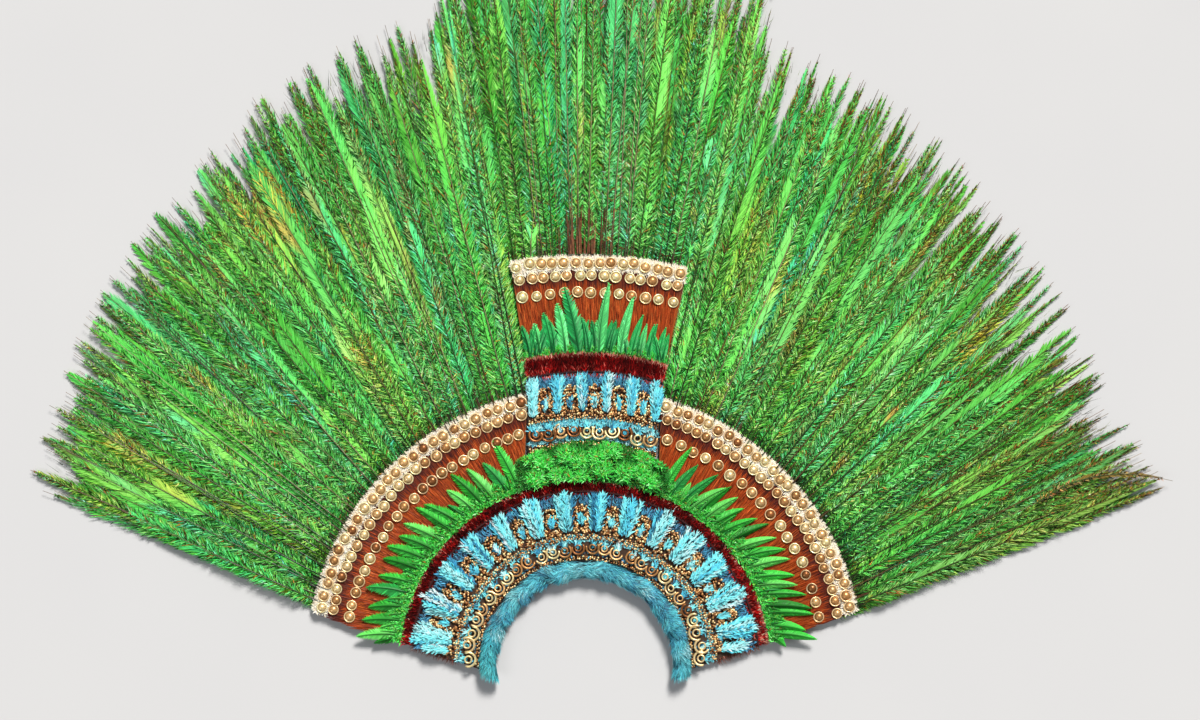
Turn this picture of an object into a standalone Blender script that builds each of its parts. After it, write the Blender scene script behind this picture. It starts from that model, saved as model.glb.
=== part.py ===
"""A feathered headdress laid flat on its back.

A fan of long green plumes spreads from a half-round band that is worn over the head. The band is
built in rings about the head opening: a turquoise roll, an ornament band with tufts and gold, a
dark red strip, a green leaf fringe, and a red-brown field edged with gold discs. A taller block
with the same layers stands over the middle of the band.

Plan: x runs across the fan, y towards the plume tips, z out of the worn front. Everything is laid
out about the head centre, and the finished assembly is moved so that the origin is at the middle
of its box, on the surface that it lies on. Metres throughout.
"""
from collections import namedtuple
from math import acos, asin, atan2, cos, radians, sin, sqrt

import bmesh
import bpy
from mathutils import Vector

GAP = 0.0003                      # left between pieces that touch
RING_GAP = 0.0008                 # the same where two rings have their facets in different places

# Rings of the band, as radii about the head centre.
HEAD_RADIUS = 0.134
FUR_RIM_WIDTH = 0.027
ORNAMENT_OUTER = 0.264
CRIMSON_OUTER = 0.283
LEAF_STRIP_OUTER = 0.303
LEAF_TIP_RADIUS = 0.347
FIELD_OUTER = 0.405
RIM_OUTER = 0.428
BLOCK_FOOT_RADIUS = 0.3365

# The band's two ends are cut along lines that rise outwards and pass below the head centre.
END_SLOPE = radians(19.4)
END_DROP = 0.0624

# Heights of the layers over the surface that it lies on.
QUILL_BED = 0.008
FIELD_TOP = 0.0113
RIM_TOP = 0.013
LEAF_THICKNESS = 0.004
ORNAMENT_GROUND = 0.012
TUFT_TOP = 0.020
CRIMSON_TOP = 0.018
FUR_TOP = 0.025
CROWN_TUFT_TOP = 0.023
CROWN_TUFT_ROLL = 0.1             # share of its height by which the tuft's heaps rise and fall
PLUME_BED = 0.015                 # a bundle just outside the band
PLUME_TIP = 0.004
PLUME_RIDGE = 0.0025

# Plumes: the quills point at a focus below the head centre.
FOCUS_DROP = 0.078
PLUMES_PER_BUNDLE = 3
TIP_NOTCH = 0.055                 # how far the gaps between tips run in
BAND_CLEARANCE = 0.006            # from the pale edging to where a bundle reaches full height
TOWER_CLEARANCE = 0.650           # the same for the bundles that pass under the tower

# Gold.
DISC_DIAMETER = 0.0165
DISC_WALL = 0.0014
DISC_HEIGHT = 0.0036
CRESCENT_DIAMETER = 0.0185
CRESCENT_RADIUS = 0.183           # ring that the crescents are centred on
BEAD_LINE_WIDTH = 0.0036
BEAD_LINE_HEIGHT = 0.0034
BEAD_LINE_RADII = {"inner": 0.1645, "outer": 0.1965}

# Tall tufts of the ornament band.
TUFT_COUNT = 14
TUFT_FIRST, TUFT_LAST = radians(14.0), radians(168.8)
TUFT_WIDTH = 0.026
TUFT_INNER = 0.202

# The block over the middle. It leans a little, and its courses bow upwards.
TOWER_LEAN = radians(-2.0)
TOWER_BOW = 0.014
BLOCK_HALF_WIDTH = 0.103

Outline = namedtuple("Outline", "level half_width")
TOWER_SIDES = (
    Outline(0.3365, 0.098),
    Outline(0.440, 0.103),
    Outline(0.478, 0.108),
    Outline(0.634, 0.137),
)

Course = namedtuple("Course", "name low high")
TOWER_ORNAMENT = Course("tuft_band_tower", 0.3370, 0.4460)
TOWER_CRIMSON = Course("crimson_strip_tower", 0.4463, 0.4780)
TOWER_FIELD = Course("red_field_tower", 0.4783, 0.6080)
TOWER_RIM = Course("cream_rim_tower", 0.6083, 0.6300)
TOWER_LEAF_STRIP = Course("green_fringe_tower", 0.4790, 0.4930)
TOWER_TUFT_LOW, TOWER_TUFT_HIGH = 0.387, 0.443
TOWER_TUFT_COUNT = 6
TOWER_TUFT_HALF = 0.075           # half a tuft's width, as a share of the block's half width
TOWER_TUFT_SLOPE = 0.02
TOWER_CRESCENT_LEVEL = 0.363
TOWER_CRESCENT_COUNT = 10
TOWER_BEAD_LEVELS = {"lower": 0.341, "upper": 0.383}

Row = namedtuple("Row", "number place base count")
WING_ROWS = {                     # place is a radius
    "left": (
        Row(1, 0.4140, RIM_TOP, 26),
        Row(2, 0.3965, FIELD_TOP, 25),
        Row(3, 0.3680, FIELD_TOP, 22),
    ),
    "right": (
        Row(1, 0.4140, RIM_TOP, 26),
        Row(2, 0.3965, FIELD_TOP, 25),
        Row(3, 0.3680, FIELD_TOP, 18),
    ),
}
TOWER_ROWS = (                    # place is a level
    Row(1, 0.6195, RIM_TOP, 15),
    Row(2, 0.5985, FIELD_TOP, 14),
    Row(3, 0.5725, FIELD_TOP, 12),
)
CRESCENT_COUNT = 28
LEAVES_PER_WING = {"left": 15, "right": 17}

Leaf = namedtuple("Leaf", "across length lean")
TOWER_LEAVES = (                  # across is -1 to 1 over the block's width
    Leaf(-0.93, 0.038, -0.010), Leaf(-0.78, 0.034, -0.008), Leaf(-0.62, 0.052, -0.010),
    Leaf(-0.44, 0.064, -0.008), Leaf(-0.24, 0.090, -0.022), Leaf(-0.10, 0.034, -0.004),
    Leaf(0.05, 0.094, 0.002), Leaf(0.19, 0.036, 0.004), Leaf(0.34, 0.078, 0.012),
    Leaf(0.50, 0.052, 0.012), Leaf(0.72, 0.042, 0.010), Leaf(0.92, 0.024, 0.008),
)
LEAF_HALF_WIDTH = 0.0055
LEAF_LEAN = 0.004
LEAF_RISE = 0.0065                # how far the tip of a leaf lifts where it passes over a disc

Reach = namedtuple("Reach", "degrees metres")
RIGHT_REACH = (Reach(21.6, 0.971), Reach(31, 0.956), Reach(46, 1.005), Reach(56.5, 1.044),
               Reach(64, 1.080), Reach(75.1, 1.098))
CROWN_REACH = (Reach(75.1, 1.210), Reach(88, 1.223), Reach(100.7, 1.210))
LEFT_REACH = (Reach(100.7, 1.135), Reach(109, 1.118), Reach(119, 1.085), Reach(127, 1.045),
              Reach(136, 1.012), Reach(146, 0.976), Reach(157.2, 0.934))

Fan = namedtuple("Fan", "side bundles reach full_height_from")
FANS = (
    Fan("right", 8, RIGHT_REACH, RIM_OUTER + BAND_CLEARANCE),
    Fan("crown", 5, CROWN_REACH, TOWER_CLEARANCE),
    Fan("left", 8, LEFT_REACH, RIM_OUTER + BAND_CLEARANCE),
)

Finish = namedtuple("Finish", "colour roughness metallic")
FINISHES = {
    "plume_green": Finish((0.06, 0.32, 0.06, 1), 0.55, 0.0),
    "field_red_brown": Finish((0.24, 0.045, 0.015, 1), 0.6, 0.0),
    "down_cream": Finish((0.80, 0.66, 0.50, 1), 0.9, 0.0),
    "gold": Finish((0.75, 0.47, 0.18, 1), 0.35, 1.0),
    "leaf_green": Finish((0.03, 0.36, 0.08, 1), 0.45, 0.0),
    "crimson_pile": Finish((0.12, 0.004, 0.006, 1), 0.8, 0.0),
    "turquoise_down": Finish((0.10, 0.52, 0.72, 1), 0.8, 0.0),
}


def clear_scene():
    for old in list(bpy.data.objects):
        bpy.data.objects.remove(old, do_unlink=True)


def material(slot):
    """The one material of a slot, made the first time it is asked for."""
    found = bpy.data.materials.get(slot)
    if found:
        return found
    finish = FINISHES[slot]
    made = bpy.data.materials.new(slot)
    made.use_nodes = True
    shader = made.node_tree.nodes["Principled BSDF"]
    shader.inputs["Base Color"].default_value = finish.colour
    shader.inputs["Roughness"].default_value = finish.roughness
    shader.inputs["Metallic"].default_value = finish.metallic
    made.diffuse_color = finish.colour
    return made


def finish_piece(name, bm, slot):
    """Turns a closed bmesh into the named piece."""
    bmesh.ops.recalc_face_normals(bm, faces=bm.faces[:])
    mesh = bpy.data.meshes.new(name)
    bm.to_mesh(mesh)
    bm.free()
    mesh.materials.append(material(slot))
    piece = bpy.data.objects.new(name, mesh)
    bpy.context.scene.collection.objects.link(piece)
    return piece


def loft(name, rings, slot):
    """A closed body through rings of equal length, with a flat cap at each end."""
    bm = bmesh.new()
    loops = [[bm.verts.new(point) for point in ring] for ring in rings]
    count = len(loops[0])
    for near, far in zip(loops, loops[1:]):
        for i in range(count):
            j = (i + 1) % count
            bm.faces.new((near[i], near[j], far[j], far[i]))
    bm.faces.new(loops[0])
    bm.faces.new(loops[-1])
    return finish_piece(name, bm, slot)


def spread(low, high, count):
    """The middles of count equal steps from low to high."""
    return [low + (high - low) * (i + 0.5) / count for i in range(count)]


def read_table(table, at):
    """The second column of a two-column table, read between rows at a value of the first."""
    for (x0, y0), (x1, y1) in zip(table, table[1:]):
        if at <= x1:
            return y0 + (y1 - y0) * (at - x0) / (x1 - x0)
    return table[-1][1]


# Places on the band and on the block.

def ring_point(radius, angle, height):
    return Vector((radius * cos(angle), radius * sin(angle), height))


def right_end(radius):
    """Angle where the right end's cut crosses a ring."""
    return END_SLOPE + asin(-END_DROP * cos(END_SLOPE) / radius)


def left_end(radius):
    return radians(180) - right_end(radius)


def block_side(radius, side, gap=GAP):
    """Angle where the block's side, plus a gap, crosses a ring."""
    across = acos((BLOCK_HALF_WIDTH + gap) / radius)
    return (across if side == "right" else radians(180) - across) + TOWER_LEAN


def tower_point(across, level, height):
    """A point of the block: across runs from -1 to 1, level is the height of the course's middle."""
    x = across * read_table(TOWER_SIDES, level)
    y = level - TOWER_BOW * across * across
    turn_x = x * cos(TOWER_LEAN) - y * sin(TOWER_LEAN)
    turn_y = x * sin(TOWER_LEAN) + y * cos(TOWER_LEAN)
    return Vector((turn_x, turn_y, height))


def ring_sweep(name, section, start, stop, stations, slot, lift=None):
    """Carries a (radius, height) section round the head centre, from one end's angle to the other's."""
    rings = []
    for t in stations:
        ring = []
        for radius, height in section:
            angle = start(radius) + (stop(radius) - start(radius)) * t
            if lift:
                height = lift(angle, radius, height)
            ring.append(ring_point(radius, angle, height))
        rings.append(ring)
    return loft(name, rings, slot)


def course_sweep(name, section, stations, slot):
    """Carries a (level, height) section across the block; a station is (across, section)."""
    rings = []
    for across in stations:
        rings.append([tower_point(across, level, height) for level, height in section(across)])
    return loft(name, rings, slot)


def even(count):
    return [i / count for i in range(count + 1)]


def flat_section(inner, outer, low, high):
    return [(inner, low), (outer, low), (outer, high), (inner, high)]


# Pieces.

def plume_bundle(name, right, left, fan):
    """Three plumes side by side: flat below, ridged along each quill, with separate tips."""
    focus = Vector((0, -FOCUS_DROP))

    def from_focus(angle, radius):
        """Distance along a quill's line at which it crosses a ring about the head centre."""
        along = FOCUS_DROP * sin(angle)
        return along + sqrt(along * along - FOCUS_DROP ** 2 + radius ** 2)

    def place(angle, distance, height, inset=0.0):
        turned = angle + inset / distance
        return (focus.x + distance * cos(turned), focus.y + distance * sin(turned), height)

    table = [(radians(row.degrees), row.metres) for row in fan.reach]
    columns = 2 * PLUMES_PER_BUNDLE + 1
    bm = bmesh.new()
    top, floor = [], []
    for c in range(columns):
        angle = right + (left - right) * c / (columns - 1)
        inset = GAP / 2 * ((c == 0) - (c == columns - 1))
        tip = read_table(table, angle)
        quill = c % 2 == 1
        shoulder = tip - TIP_NOTCH
        ridge = PLUME_RIDGE if quill else 0
        root = from_focus(angle, CRIMSON_OUTER + RING_GAP)
        cover = from_focus(angle, fan.full_height_from - BAND_CLEARANCE / 2)
        full = from_focus(angle, fan.full_height_from + PLUME_BED)
        middle = (full + shoulder) / 2
        heights = [
            (root, QUILL_BED), (cover, QUILL_BED), (full, PLUME_BED + ridge),
            (middle, (PLUME_BED + PLUME_TIP) / 2 + ridge), (shoulder, PLUME_TIP + ridge / 2),
        ]
        if quill:
            heights.append((tip, PLUME_TIP))
        top.append([bm.verts.new(place(angle, d, h, inset)) for d, h in heights])
        floor.append([bm.verts.new(place(angle, d, 0, inset)) for d, h in heights])
    rows = 5
    for c in range(columns - 1):
        for r in range(rows - 1):
            bm.faces.new((top[c][r], top[c][r + 1], top[c + 1][r + 1], top[c + 1][r]))
    outline = [column[0] for column in floor]
    outline += floor[-1][1:rows]
    for c in range(columns - 2, 0, -2):
        outline += [floor[c][rows], floor[c - 1][rows - 1]]
        bm.faces.new((top[c][rows - 1], top[c][rows], top[c + 1][rows - 1]))
        bm.faces.new((top[c][rows - 1], top[c - 1][rows - 1], top[c][rows]))
    outline += floor[0][rows - 2:0:-1]
    bm.faces.new(outline)
    upper = {low: high for lows, highs in zip(floor, top) for low, high in zip(lows, highs)}
    for a, b in zip(outline, outline[1:] + outline[:1]):
        bm.faces.new((a, b, upper[b], upper[a]))
    for column in floor[1:-1]:
        for vert in column:
            if not vert.link_faces:
                bm.verts.remove(vert)
    return finish_piece(name, bm, "plume_green")


def plume_fan():
    for fan in FANS:
        first, last = radians(fan.reach[0].degrees), radians(fan.reach[-1].degrees)
        step = (last - first) / fan.bundles
        for i in range(fan.bundles):
            plume_bundle(f"plume_bundle_{fan.side}_{i + 1}", first + i * step, first + (i + 1) * step, fan)


def disc_chain(name, places, base, diameter, slot="gold"):
    """Low domed discs on one thread. A place is (centre, angle of the row's direction there)."""
    sides = 8
    bm = bmesh.new()
    discs = []
    for centre, heading in places:
        corners = [heading + radians(360 / sides) * (k + 0.5) for k in range(sides)]
        spots = [(centre.x + diameter / 2 * cos(a), centre.y + diameter / 2 * sin(a)) for a in corners]
        low = [bm.verts.new((x, y, base)) for x, y in spots]
        high = [bm.verts.new((x, y, base + DISC_WALL)) for x, y in spots]
        peak = bm.verts.new((centre.x, centre.y, base + DISC_HEIGHT))
        discs.append((low, high, peak))
    front, back = sides - 1, sides // 2 - 1        # the walls that face the next and the last disc
    for n, (low, high, peak) in enumerate(discs):
        bm.faces.new(low[::-1])
        for k in range(sides):
            j = (k + 1) % sides
            bm.faces.new((high[k], high[j], peak))
            joined = (k == front and n < len(discs) - 1) or (k == back and n > 0)
            if not joined:
                bm.faces.new((low[k], low[j], high[j], high[k]))
    for (low, high, _), (next_low, next_high, _) in zip(discs, discs[1:]):
        ring = (low[front], low[0], high[0], high[front])
        facing = (next_low[back + 1], next_low[back], next_high[back], next_high[back + 1])
        for i in range(4):
            j = (i + 1) % 4
            bm.faces.new((ring[i], ring[j], facing[j], facing[i]))
    return finish_piece(name, bm, slot)


def ring_places(radius, start, stop, count):
    """Even places along a ring, each with the row's direction."""
    return [(ring_point(radius, angle, 0), angle + radians(90)) for angle in spread(start, stop, count)]


def course_places(level, count):
    """Even places along a course of the block, each with the row's direction."""
    places = []
    for across in spread(-1, 1, count):
        here = tower_point(across, level, 0)
        ahead = tower_point(across + 0.01, level, 0) - here
        places.append((here, atan2(ahead.y, ahead.x)))
    return places


def fringe(name, inner, roots, leaves):
    """A strip with pointed leaves along one edge, 4 mm thick.

    inner and roots are the strip's two edges, with two points on each for every leaf and one at
    each end. A leaf is (direction, length, lean, rise of its tip).
    """
    bm = bmesh.new()
    base = FIELD_TOP + GAP
    near = [bm.verts.new((p.x, p.y, base)) for p in inner]
    far = [bm.verts.new((p.x, p.y, base)) for p in roots]
    for i in range(len(near) - 1):
        bm.faces.new((near[i], near[i + 1], far[i + 1], far[i]))
    for n, (along, length, lean, rise) in enumerate(leaves):
        left, right = far[2 * n + 1], far[2 * n + 2]
        root = ((left.co + right.co) / 2).xy
        across = (right.co - left.co).xy.normalized()
        belly = root + along * length * 0.4 + across * lean * 0.25
        tip = root + along * length + across * lean
        sides = [belly - across * LEAF_HALF_WIDTH, belly + across * LEAF_HALF_WIDTH]
        belly_left, belly_right = [bm.verts.new((p.x, p.y, base)) for p in sides]
        point = bm.verts.new((tip.x, tip.y, base + rise))
        bm.faces.new((left, right, belly_right, belly_left))
        bm.faces.new((belly_left, belly_right, point))
    grown = bmesh.ops.extrude_face_region(bm, geom=bm.faces[:])["geom"]
    top = [v for v in grown if isinstance(v, bmesh.types.BMVert)]
    bmesh.ops.translate(bm, verts=top, vec=(0, 0, LEAF_THICKNESS))
    finish_piece(name, bm, "leaf_green")


def leaf_feet(middles, half):
    """Both feet of each leaf along an edge, with the edge's ends at 0 and 1."""
    feet = [0.0]
    for middle in middles:
        feet += [middle - half, middle + half]
    return feet + [1.0]


def wing_fringe(side):
    """The strip of short green feathers with the pointed leaves that stand out from it."""
    edge = right_end if side == "right" else left_end
    count = LEAVES_PER_WING[side]
    middles = spread(0, 1, count)

    def arc(radius):
        start, stop = edge(radius), block_side(radius, side)
        feet = leaf_feet(middles, LEAF_HALF_WIDTH * 0.8 / (radius * abs(stop - start)))
        return [ring_point(radius, start + (stop - start) * t, 0) for t in feet]

    leaves = []
    outer = LEAF_STRIP_OUTER
    start, stop = edge(outer), block_side(outer, side)
    for i, t in enumerate(middles):
        angle = start + (stop - start) * t
        length = (LEAF_TIP_RADIUS - outer) * (1.0 if i % 2 else 0.86)
        leaves.append((Vector((cos(angle), sin(angle))), length, -LEAF_LEAN, 0))
    fringe(f"green_fringe_{side}", arc(CRIMSON_OUTER + RING_GAP), arc(outer), leaves)


def tower_fringe():
    """The same on the block, where the tallest leaves rise over the third row of discs."""
    feet = leaf_feet([(leaf.across + 1) / 2 for leaf in TOWER_LEAVES], 0.018)
    low, high = TOWER_LEAF_STRIP.low, TOWER_LEAF_STRIP.high
    inner = [tower_point(t * 2 - 1, low, 0) for t in feet]
    outer = [tower_point(t * 2 - 1, high, 0) for t in feet]
    up = Vector((-sin(TOWER_LEAN), cos(TOWER_LEAN)))
    clear = TOWER_ROWS[2].place - DISC_DIAMETER - high
    leaves = [(up, leaf.length, leaf.lean, LEAF_RISE if leaf.length > clear else 0) for leaf in TOWER_LEAVES]
    fringe(TOWER_LEAF_STRIP.name, inner, outer, leaves)


def wing(side):
    """Field, pale edging, discs and leaves of one half of the band."""
    edge = right_end if side == "right" else left_end

    def middle(radius):
        return block_side(radius, side)

    field = flat_section(CRIMSON_OUTER + RING_GAP, FIELD_OUTER, QUILL_BED + GAP, FIELD_TOP)
    ring_sweep(f"red_field_{side}", field, edge, middle, even(18), "field_red_brown")
    low = QUILL_BED + GAP
    rim = [(FIELD_OUTER + GAP, low), (RIM_OUTER, low), (RIM_OUTER - 0.002, 0.0105),
           (RIM_OUTER - 0.006, RIM_TOP), (FIELD_OUTER + GAP, RIM_TOP)]
    ring_sweep(f"cream_rim_{side}", rim, edge, middle, even(18), "down_cream")
    for row in WING_ROWS[side]:
        places = ring_places(row.place, edge(row.place), middle(row.place), row.count)
        if side == "left":
            places = [(centre, heading + radians(180)) for centre, heading in places]
        disc_chain(f"disc_row_{side}_{row.number}", places, row.base + GAP, DISC_DIAMETER)
    wing_fringe(side)


def ornament_band():
    """Turquoise ground with tall tufts standing up from its outer part."""
    inner = HEAD_RADIUS + FUR_RIM_WIDTH + RING_GAP
    outer = ORNAMENT_OUTER - RING_GAP
    slope = 0.002
    section = [(inner, 0), (outer, 0), (outer, ORNAMENT_GROUND), (outer - slope, TUFT_TOP),
               (TUFT_INNER + slope, TUFT_TOP), (TUFT_INNER, ORNAMENT_GROUND), (inner, ORNAMENT_GROUND)]
    pitch = (TUFT_LAST - TUFT_FIRST) / (TUFT_COUNT - 1)
    tufts = [TUFT_FIRST + i * pitch for i in range(TUFT_COUNT)]
    reference = (TUFT_INNER + outer) / 2
    half = TUFT_WIDTH / 2 / reference
    shoulder = slope / reference
    start, stop = right_end(reference), left_end(reference)
    stations = [0.0, 1.0]
    for angle in tufts:
        for offset in (-half - shoulder, -half, half, half + shoulder):
            stations.append((angle + offset - start) / (stop - start))
    stations = sorted(t for t in stations if 0 <= t <= 1)

    def ring(t):
        angle = start + (stop - start) * t
        raised = any(abs(angle - tuft) < half + shoulder / 2 for tuft in tufts)
        points = []
        for radius, height in section:
            turned = right_end(radius) + (left_end(radius) - right_end(radius)) * t
            points.append(ring_point(radius, turned, height if raised else min(height, ORNAMENT_GROUND)))
        return points

    loft("tuft_band_main", [ring(t) for t in stations], "turquoise_down")


def band():
    """The rings that run from end to end under both wings."""
    fur_outer = HEAD_RADIUS + FUR_RIM_WIDTH
    fur = [(HEAD_RADIUS + 0.006, 0), (fur_outer - 0.003, 0), (fur_outer, 0.004), (fur_outer, 0.015),
           (fur_outer - 0.007, 0.023), (HEAD_RADIUS + 0.012, FUR_TOP), (HEAD_RADIUS + 0.002, 0.018),
           (HEAD_RADIUS, 0.008)]
    ring_sweep("fur_rim", fur, right_end, left_end, even(30), "turquoise_down")
    ornament_band()
    crimson = [(ORNAMENT_OUTER, 0), (CRIMSON_OUTER, 0), (CRIMSON_OUTER, 0.013),
               (CRIMSON_OUTER - 0.004, CRIMSON_TOP), (ORNAMENT_OUTER + 0.003, CRIMSON_TOP),
               (ORNAMENT_OUTER, 0.013)]
    ring_sweep("crimson_strip_main", crimson, right_end, left_end, even(28), "crimson_pile")
    base = ORNAMENT_GROUND + GAP
    for name, radius in BEAD_LINE_RADII.items():
        half = BEAD_LINE_WIDTH / 2
        line = flat_section(radius - half, radius + half, base, base + BEAD_LINE_HEIGHT)
        ring_sweep(f"bead_line_main_{name}", line, right_end, left_end, even(32), "gold")
    first, last = right_end(CRESCENT_RADIUS), left_end(CRESCENT_RADIUS)
    places = ring_places(CRESCENT_RADIUS, first, last, CRESCENT_COUNT)
    disc_chain("crescent_row_main", places, base, CRESCENT_DIAMETER)


def crown_tuft():
    """Mossy tuft that fills the middle of the green strip, below the block."""
    inner, outer = CRIMSON_OUTER + RING_GAP, BLOCK_FOOT_RADIUS - RING_GAP
    low = QUILL_BED + GAP
    section = [(inner, low), (outer, low), (outer - 0.001, 0.016), (outer - 0.014, 0.022),
               (inner + 0.014, CROWN_TUFT_TOP), (inner + 0.002, 0.017)]

    def lift(angle, radius, height):
        """Five rolling heaps along the tuft's top."""
        rolling = 1 + CROWN_TUFT_ROLL * sin(angle * 31)
        return height * rolling if height > low else height

    def right_side(radius):
        return block_side(radius, "right", 0)

    def left_side(radius):
        return block_side(radius, "left", 0)

    ring_sweep("green_tuft_crown", section, right_side, left_side, even(16), "leaf_green", lift)


def tower():
    """The block over the middle, course by course."""
    low = QUILL_BED + GAP
    stations = [t * 2 - 1 for t in even(10)]

    def plain(section):
        return lambda across: section

    ground = low + ORNAMENT_GROUND / 2
    tufts = spread(-1, 1, TOWER_TUFT_COUNT)
    foot = TOWER_TUFT_HALF + TOWER_TUFT_SLOPE

    def ornament(across):
        on_tuft = any(abs(across - tuft) < foot - TOWER_TUFT_SLOPE / 2 for tuft in tufts)
        up = TUFT_TOP if on_tuft else ground
        return [(TOWER_ORNAMENT.low, low), (TOWER_ORNAMENT.high, low), (TOWER_ORNAMENT.high, ground),
                (TOWER_TUFT_HIGH, up), (TOWER_TUFT_LOW + 0.002, up), (TOWER_TUFT_LOW, ground),
                (TOWER_ORNAMENT.low, ground)]

    steps = [-1, 1]
    for tuft in tufts:
        steps += [tuft - foot, tuft - TOWER_TUFT_HALF, tuft + TOWER_TUFT_HALF, tuft + foot]
    course_sweep(TOWER_ORNAMENT.name, ornament, sorted(steps), "turquoise_down")
    crimson = [(TOWER_CRIMSON.low, low), (TOWER_CRIMSON.high, low), (TOWER_CRIMSON.high, 0.013),
               (TOWER_CRIMSON.high - 0.005, CRIMSON_TOP), (TOWER_CRIMSON.low + 0.005, CRIMSON_TOP),
               (TOWER_CRIMSON.low, 0.013)]
    course_sweep(TOWER_CRIMSON.name, plain(crimson), stations, "crimson_pile")
    field = flat_section(TOWER_FIELD.low, TOWER_FIELD.high, low, FIELD_TOP)
    course_sweep(TOWER_FIELD.name, plain(field), stations, "field_red_brown")
    rim = [(TOWER_RIM.low, low), (TOWER_RIM.high, low), (TOWER_RIM.high - 0.001, 0.0105),
           (TOWER_RIM.high - 0.004, RIM_TOP), (TOWER_RIM.low, RIM_TOP)]
    course_sweep(TOWER_RIM.name, plain(rim), stations, "down_cream")
    for row in TOWER_ROWS:
        places = course_places(row.place, row.count)
        disc_chain(f"disc_row_tower_{row.number}", places, row.base + GAP, DISC_DIAMETER)
    tower_fringe()
    for name, level in TOWER_BEAD_LEVELS.items():
        half = BEAD_LINE_WIDTH / 2
        line = flat_section(level - half, level + half, ground + GAP, ground + GAP + BEAD_LINE_HEIGHT)
        course_sweep(f"bead_line_tower_{name}", plain(line), stations, "gold")
    places = course_places(TOWER_CRESCENT_LEVEL, TOWER_CRESCENT_COUNT)
    disc_chain("crescent_row_tower", places, ground + GAP, CRESCENT_DIAMETER)


def centre_on_origin():
    """Moves every piece so that the origin is at the middle of the plan box, on the surface below."""
    bpy.context.view_layer.update()
    corners = [piece.matrix_world @ Vector(c) for piece in bpy.data.objects for c in piece.bound_box]
    xs, ys, zs = zip(*corners)
    middle = Vector(((min(xs) + max(xs)) / 2, (min(ys) + max(ys)) / 2, min(zs)))
    for piece in bpy.data.objects:
        piece.location -= middle
    print("head centre is at", tuple(round(-c, 5) for c in middle))
    print("box is", [round(max(c) - min(c), 4) for c in (xs, ys, zs)])


clear_scene()
plume_fan()
band()
for wing_side in ("left", "right"):
    wing(wing_side)
crown_tuft()
tower()
centre_on_origin()
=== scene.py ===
# %% [markdown]
# # A feathered headdress, laid flat
#
# The real headdress is a fan of long green tail plumes tied into a half-round band. The band is
# covered with rings of short coloured feathers, gold discs, crescents and beads. The CAD model
# gives every layer its place and size, so the lesson starts by loading it as a fixed frame. What
# we add is the part that CAD leaves out: thousands of barbs, tufts and beads, and their finishes.
# %% Load the frame
from math import cos, pi, radians, sin
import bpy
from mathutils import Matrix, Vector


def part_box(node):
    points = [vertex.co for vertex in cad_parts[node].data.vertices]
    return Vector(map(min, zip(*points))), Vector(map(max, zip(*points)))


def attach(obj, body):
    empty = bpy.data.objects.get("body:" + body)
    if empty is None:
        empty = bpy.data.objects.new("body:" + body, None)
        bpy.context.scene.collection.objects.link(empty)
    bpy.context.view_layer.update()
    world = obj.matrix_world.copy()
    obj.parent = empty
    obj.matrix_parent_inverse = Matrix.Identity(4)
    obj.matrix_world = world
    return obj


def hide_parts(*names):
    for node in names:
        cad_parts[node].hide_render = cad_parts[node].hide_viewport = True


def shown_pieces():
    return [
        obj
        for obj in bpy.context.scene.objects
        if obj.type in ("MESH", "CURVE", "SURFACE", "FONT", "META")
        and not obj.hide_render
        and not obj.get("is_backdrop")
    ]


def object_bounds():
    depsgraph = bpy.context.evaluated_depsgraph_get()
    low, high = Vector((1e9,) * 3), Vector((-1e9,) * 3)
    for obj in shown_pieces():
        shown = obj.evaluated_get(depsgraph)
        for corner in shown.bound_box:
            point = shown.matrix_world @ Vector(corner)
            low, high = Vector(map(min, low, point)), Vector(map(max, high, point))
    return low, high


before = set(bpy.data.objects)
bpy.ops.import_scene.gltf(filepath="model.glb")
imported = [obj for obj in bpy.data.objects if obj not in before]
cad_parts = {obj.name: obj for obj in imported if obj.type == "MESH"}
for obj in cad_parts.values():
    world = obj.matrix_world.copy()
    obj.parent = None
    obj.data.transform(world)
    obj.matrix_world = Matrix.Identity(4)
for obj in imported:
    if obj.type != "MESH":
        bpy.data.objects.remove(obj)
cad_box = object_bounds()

from types import SimpleNamespace

import bpy
import numpy as np
from mathutils import Vector

print("CAD nodes:", len(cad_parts), "box from", cad_box[0][:], "to", cad_box[1][:])

# %% [markdown]
# ## Where things are
#
# Everything in the band is laid out in rings about the middle of the head opening, so that is the
# first thing to find. The roll of turquoise down runs right round the opening, and its top is one
# outer radius above the middle. The plumes point at a second centre, a little below the first.
# Small functions turn a ring's radius and angle, or a place on the block over the middle, into
# points. They take whole arrays, because feathers come by the thousand.
# %% Head centre, and the sizes of the band and the block
FUR_OUTER = 0.161
fur_low, fur_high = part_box("fur_rim")
HEAD = np.array([(fur_low[0] + fur_high[0]) / 2, fur_high[1] - FUR_OUTER])
FOCUS = HEAD - (0, 0.078)
END_SLOPE, END_DROP = radians(19.4), 0.0624
TOWER_LEAN, TOWER_BOW, BLOCK_HALF = radians(-2.0), 0.014, 0.103
TOWER_LEVELS = (0.3365, 0.440, 0.478, 0.634)
TOWER_HALVES = (0.098, 0.103, 0.108, 0.137)
print("head centre", HEAD.round(4), "plume centre", FOCUS.round(4))


# %% Points on rings, and on lines from the plume centre
def points_at(x, y, z):
    x, y, z = np.broadcast_arrays(x, y, z)
    return np.stack([x, y, z], axis=-1).astype(float)


def ring(radius, angle, height):
    """Points of a ring about the head centre."""
    return points_at(HEAD[0] + radius * np.cos(angle), HEAD[1] + radius * np.sin(angle), height)


def ray(distance, angle, height):
    """Points on a line from the centre that the quills point at."""
    return points_at(FOCUS[0] + distance * np.cos(angle), FOCUS[1] + distance * np.sin(angle), height)


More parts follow.
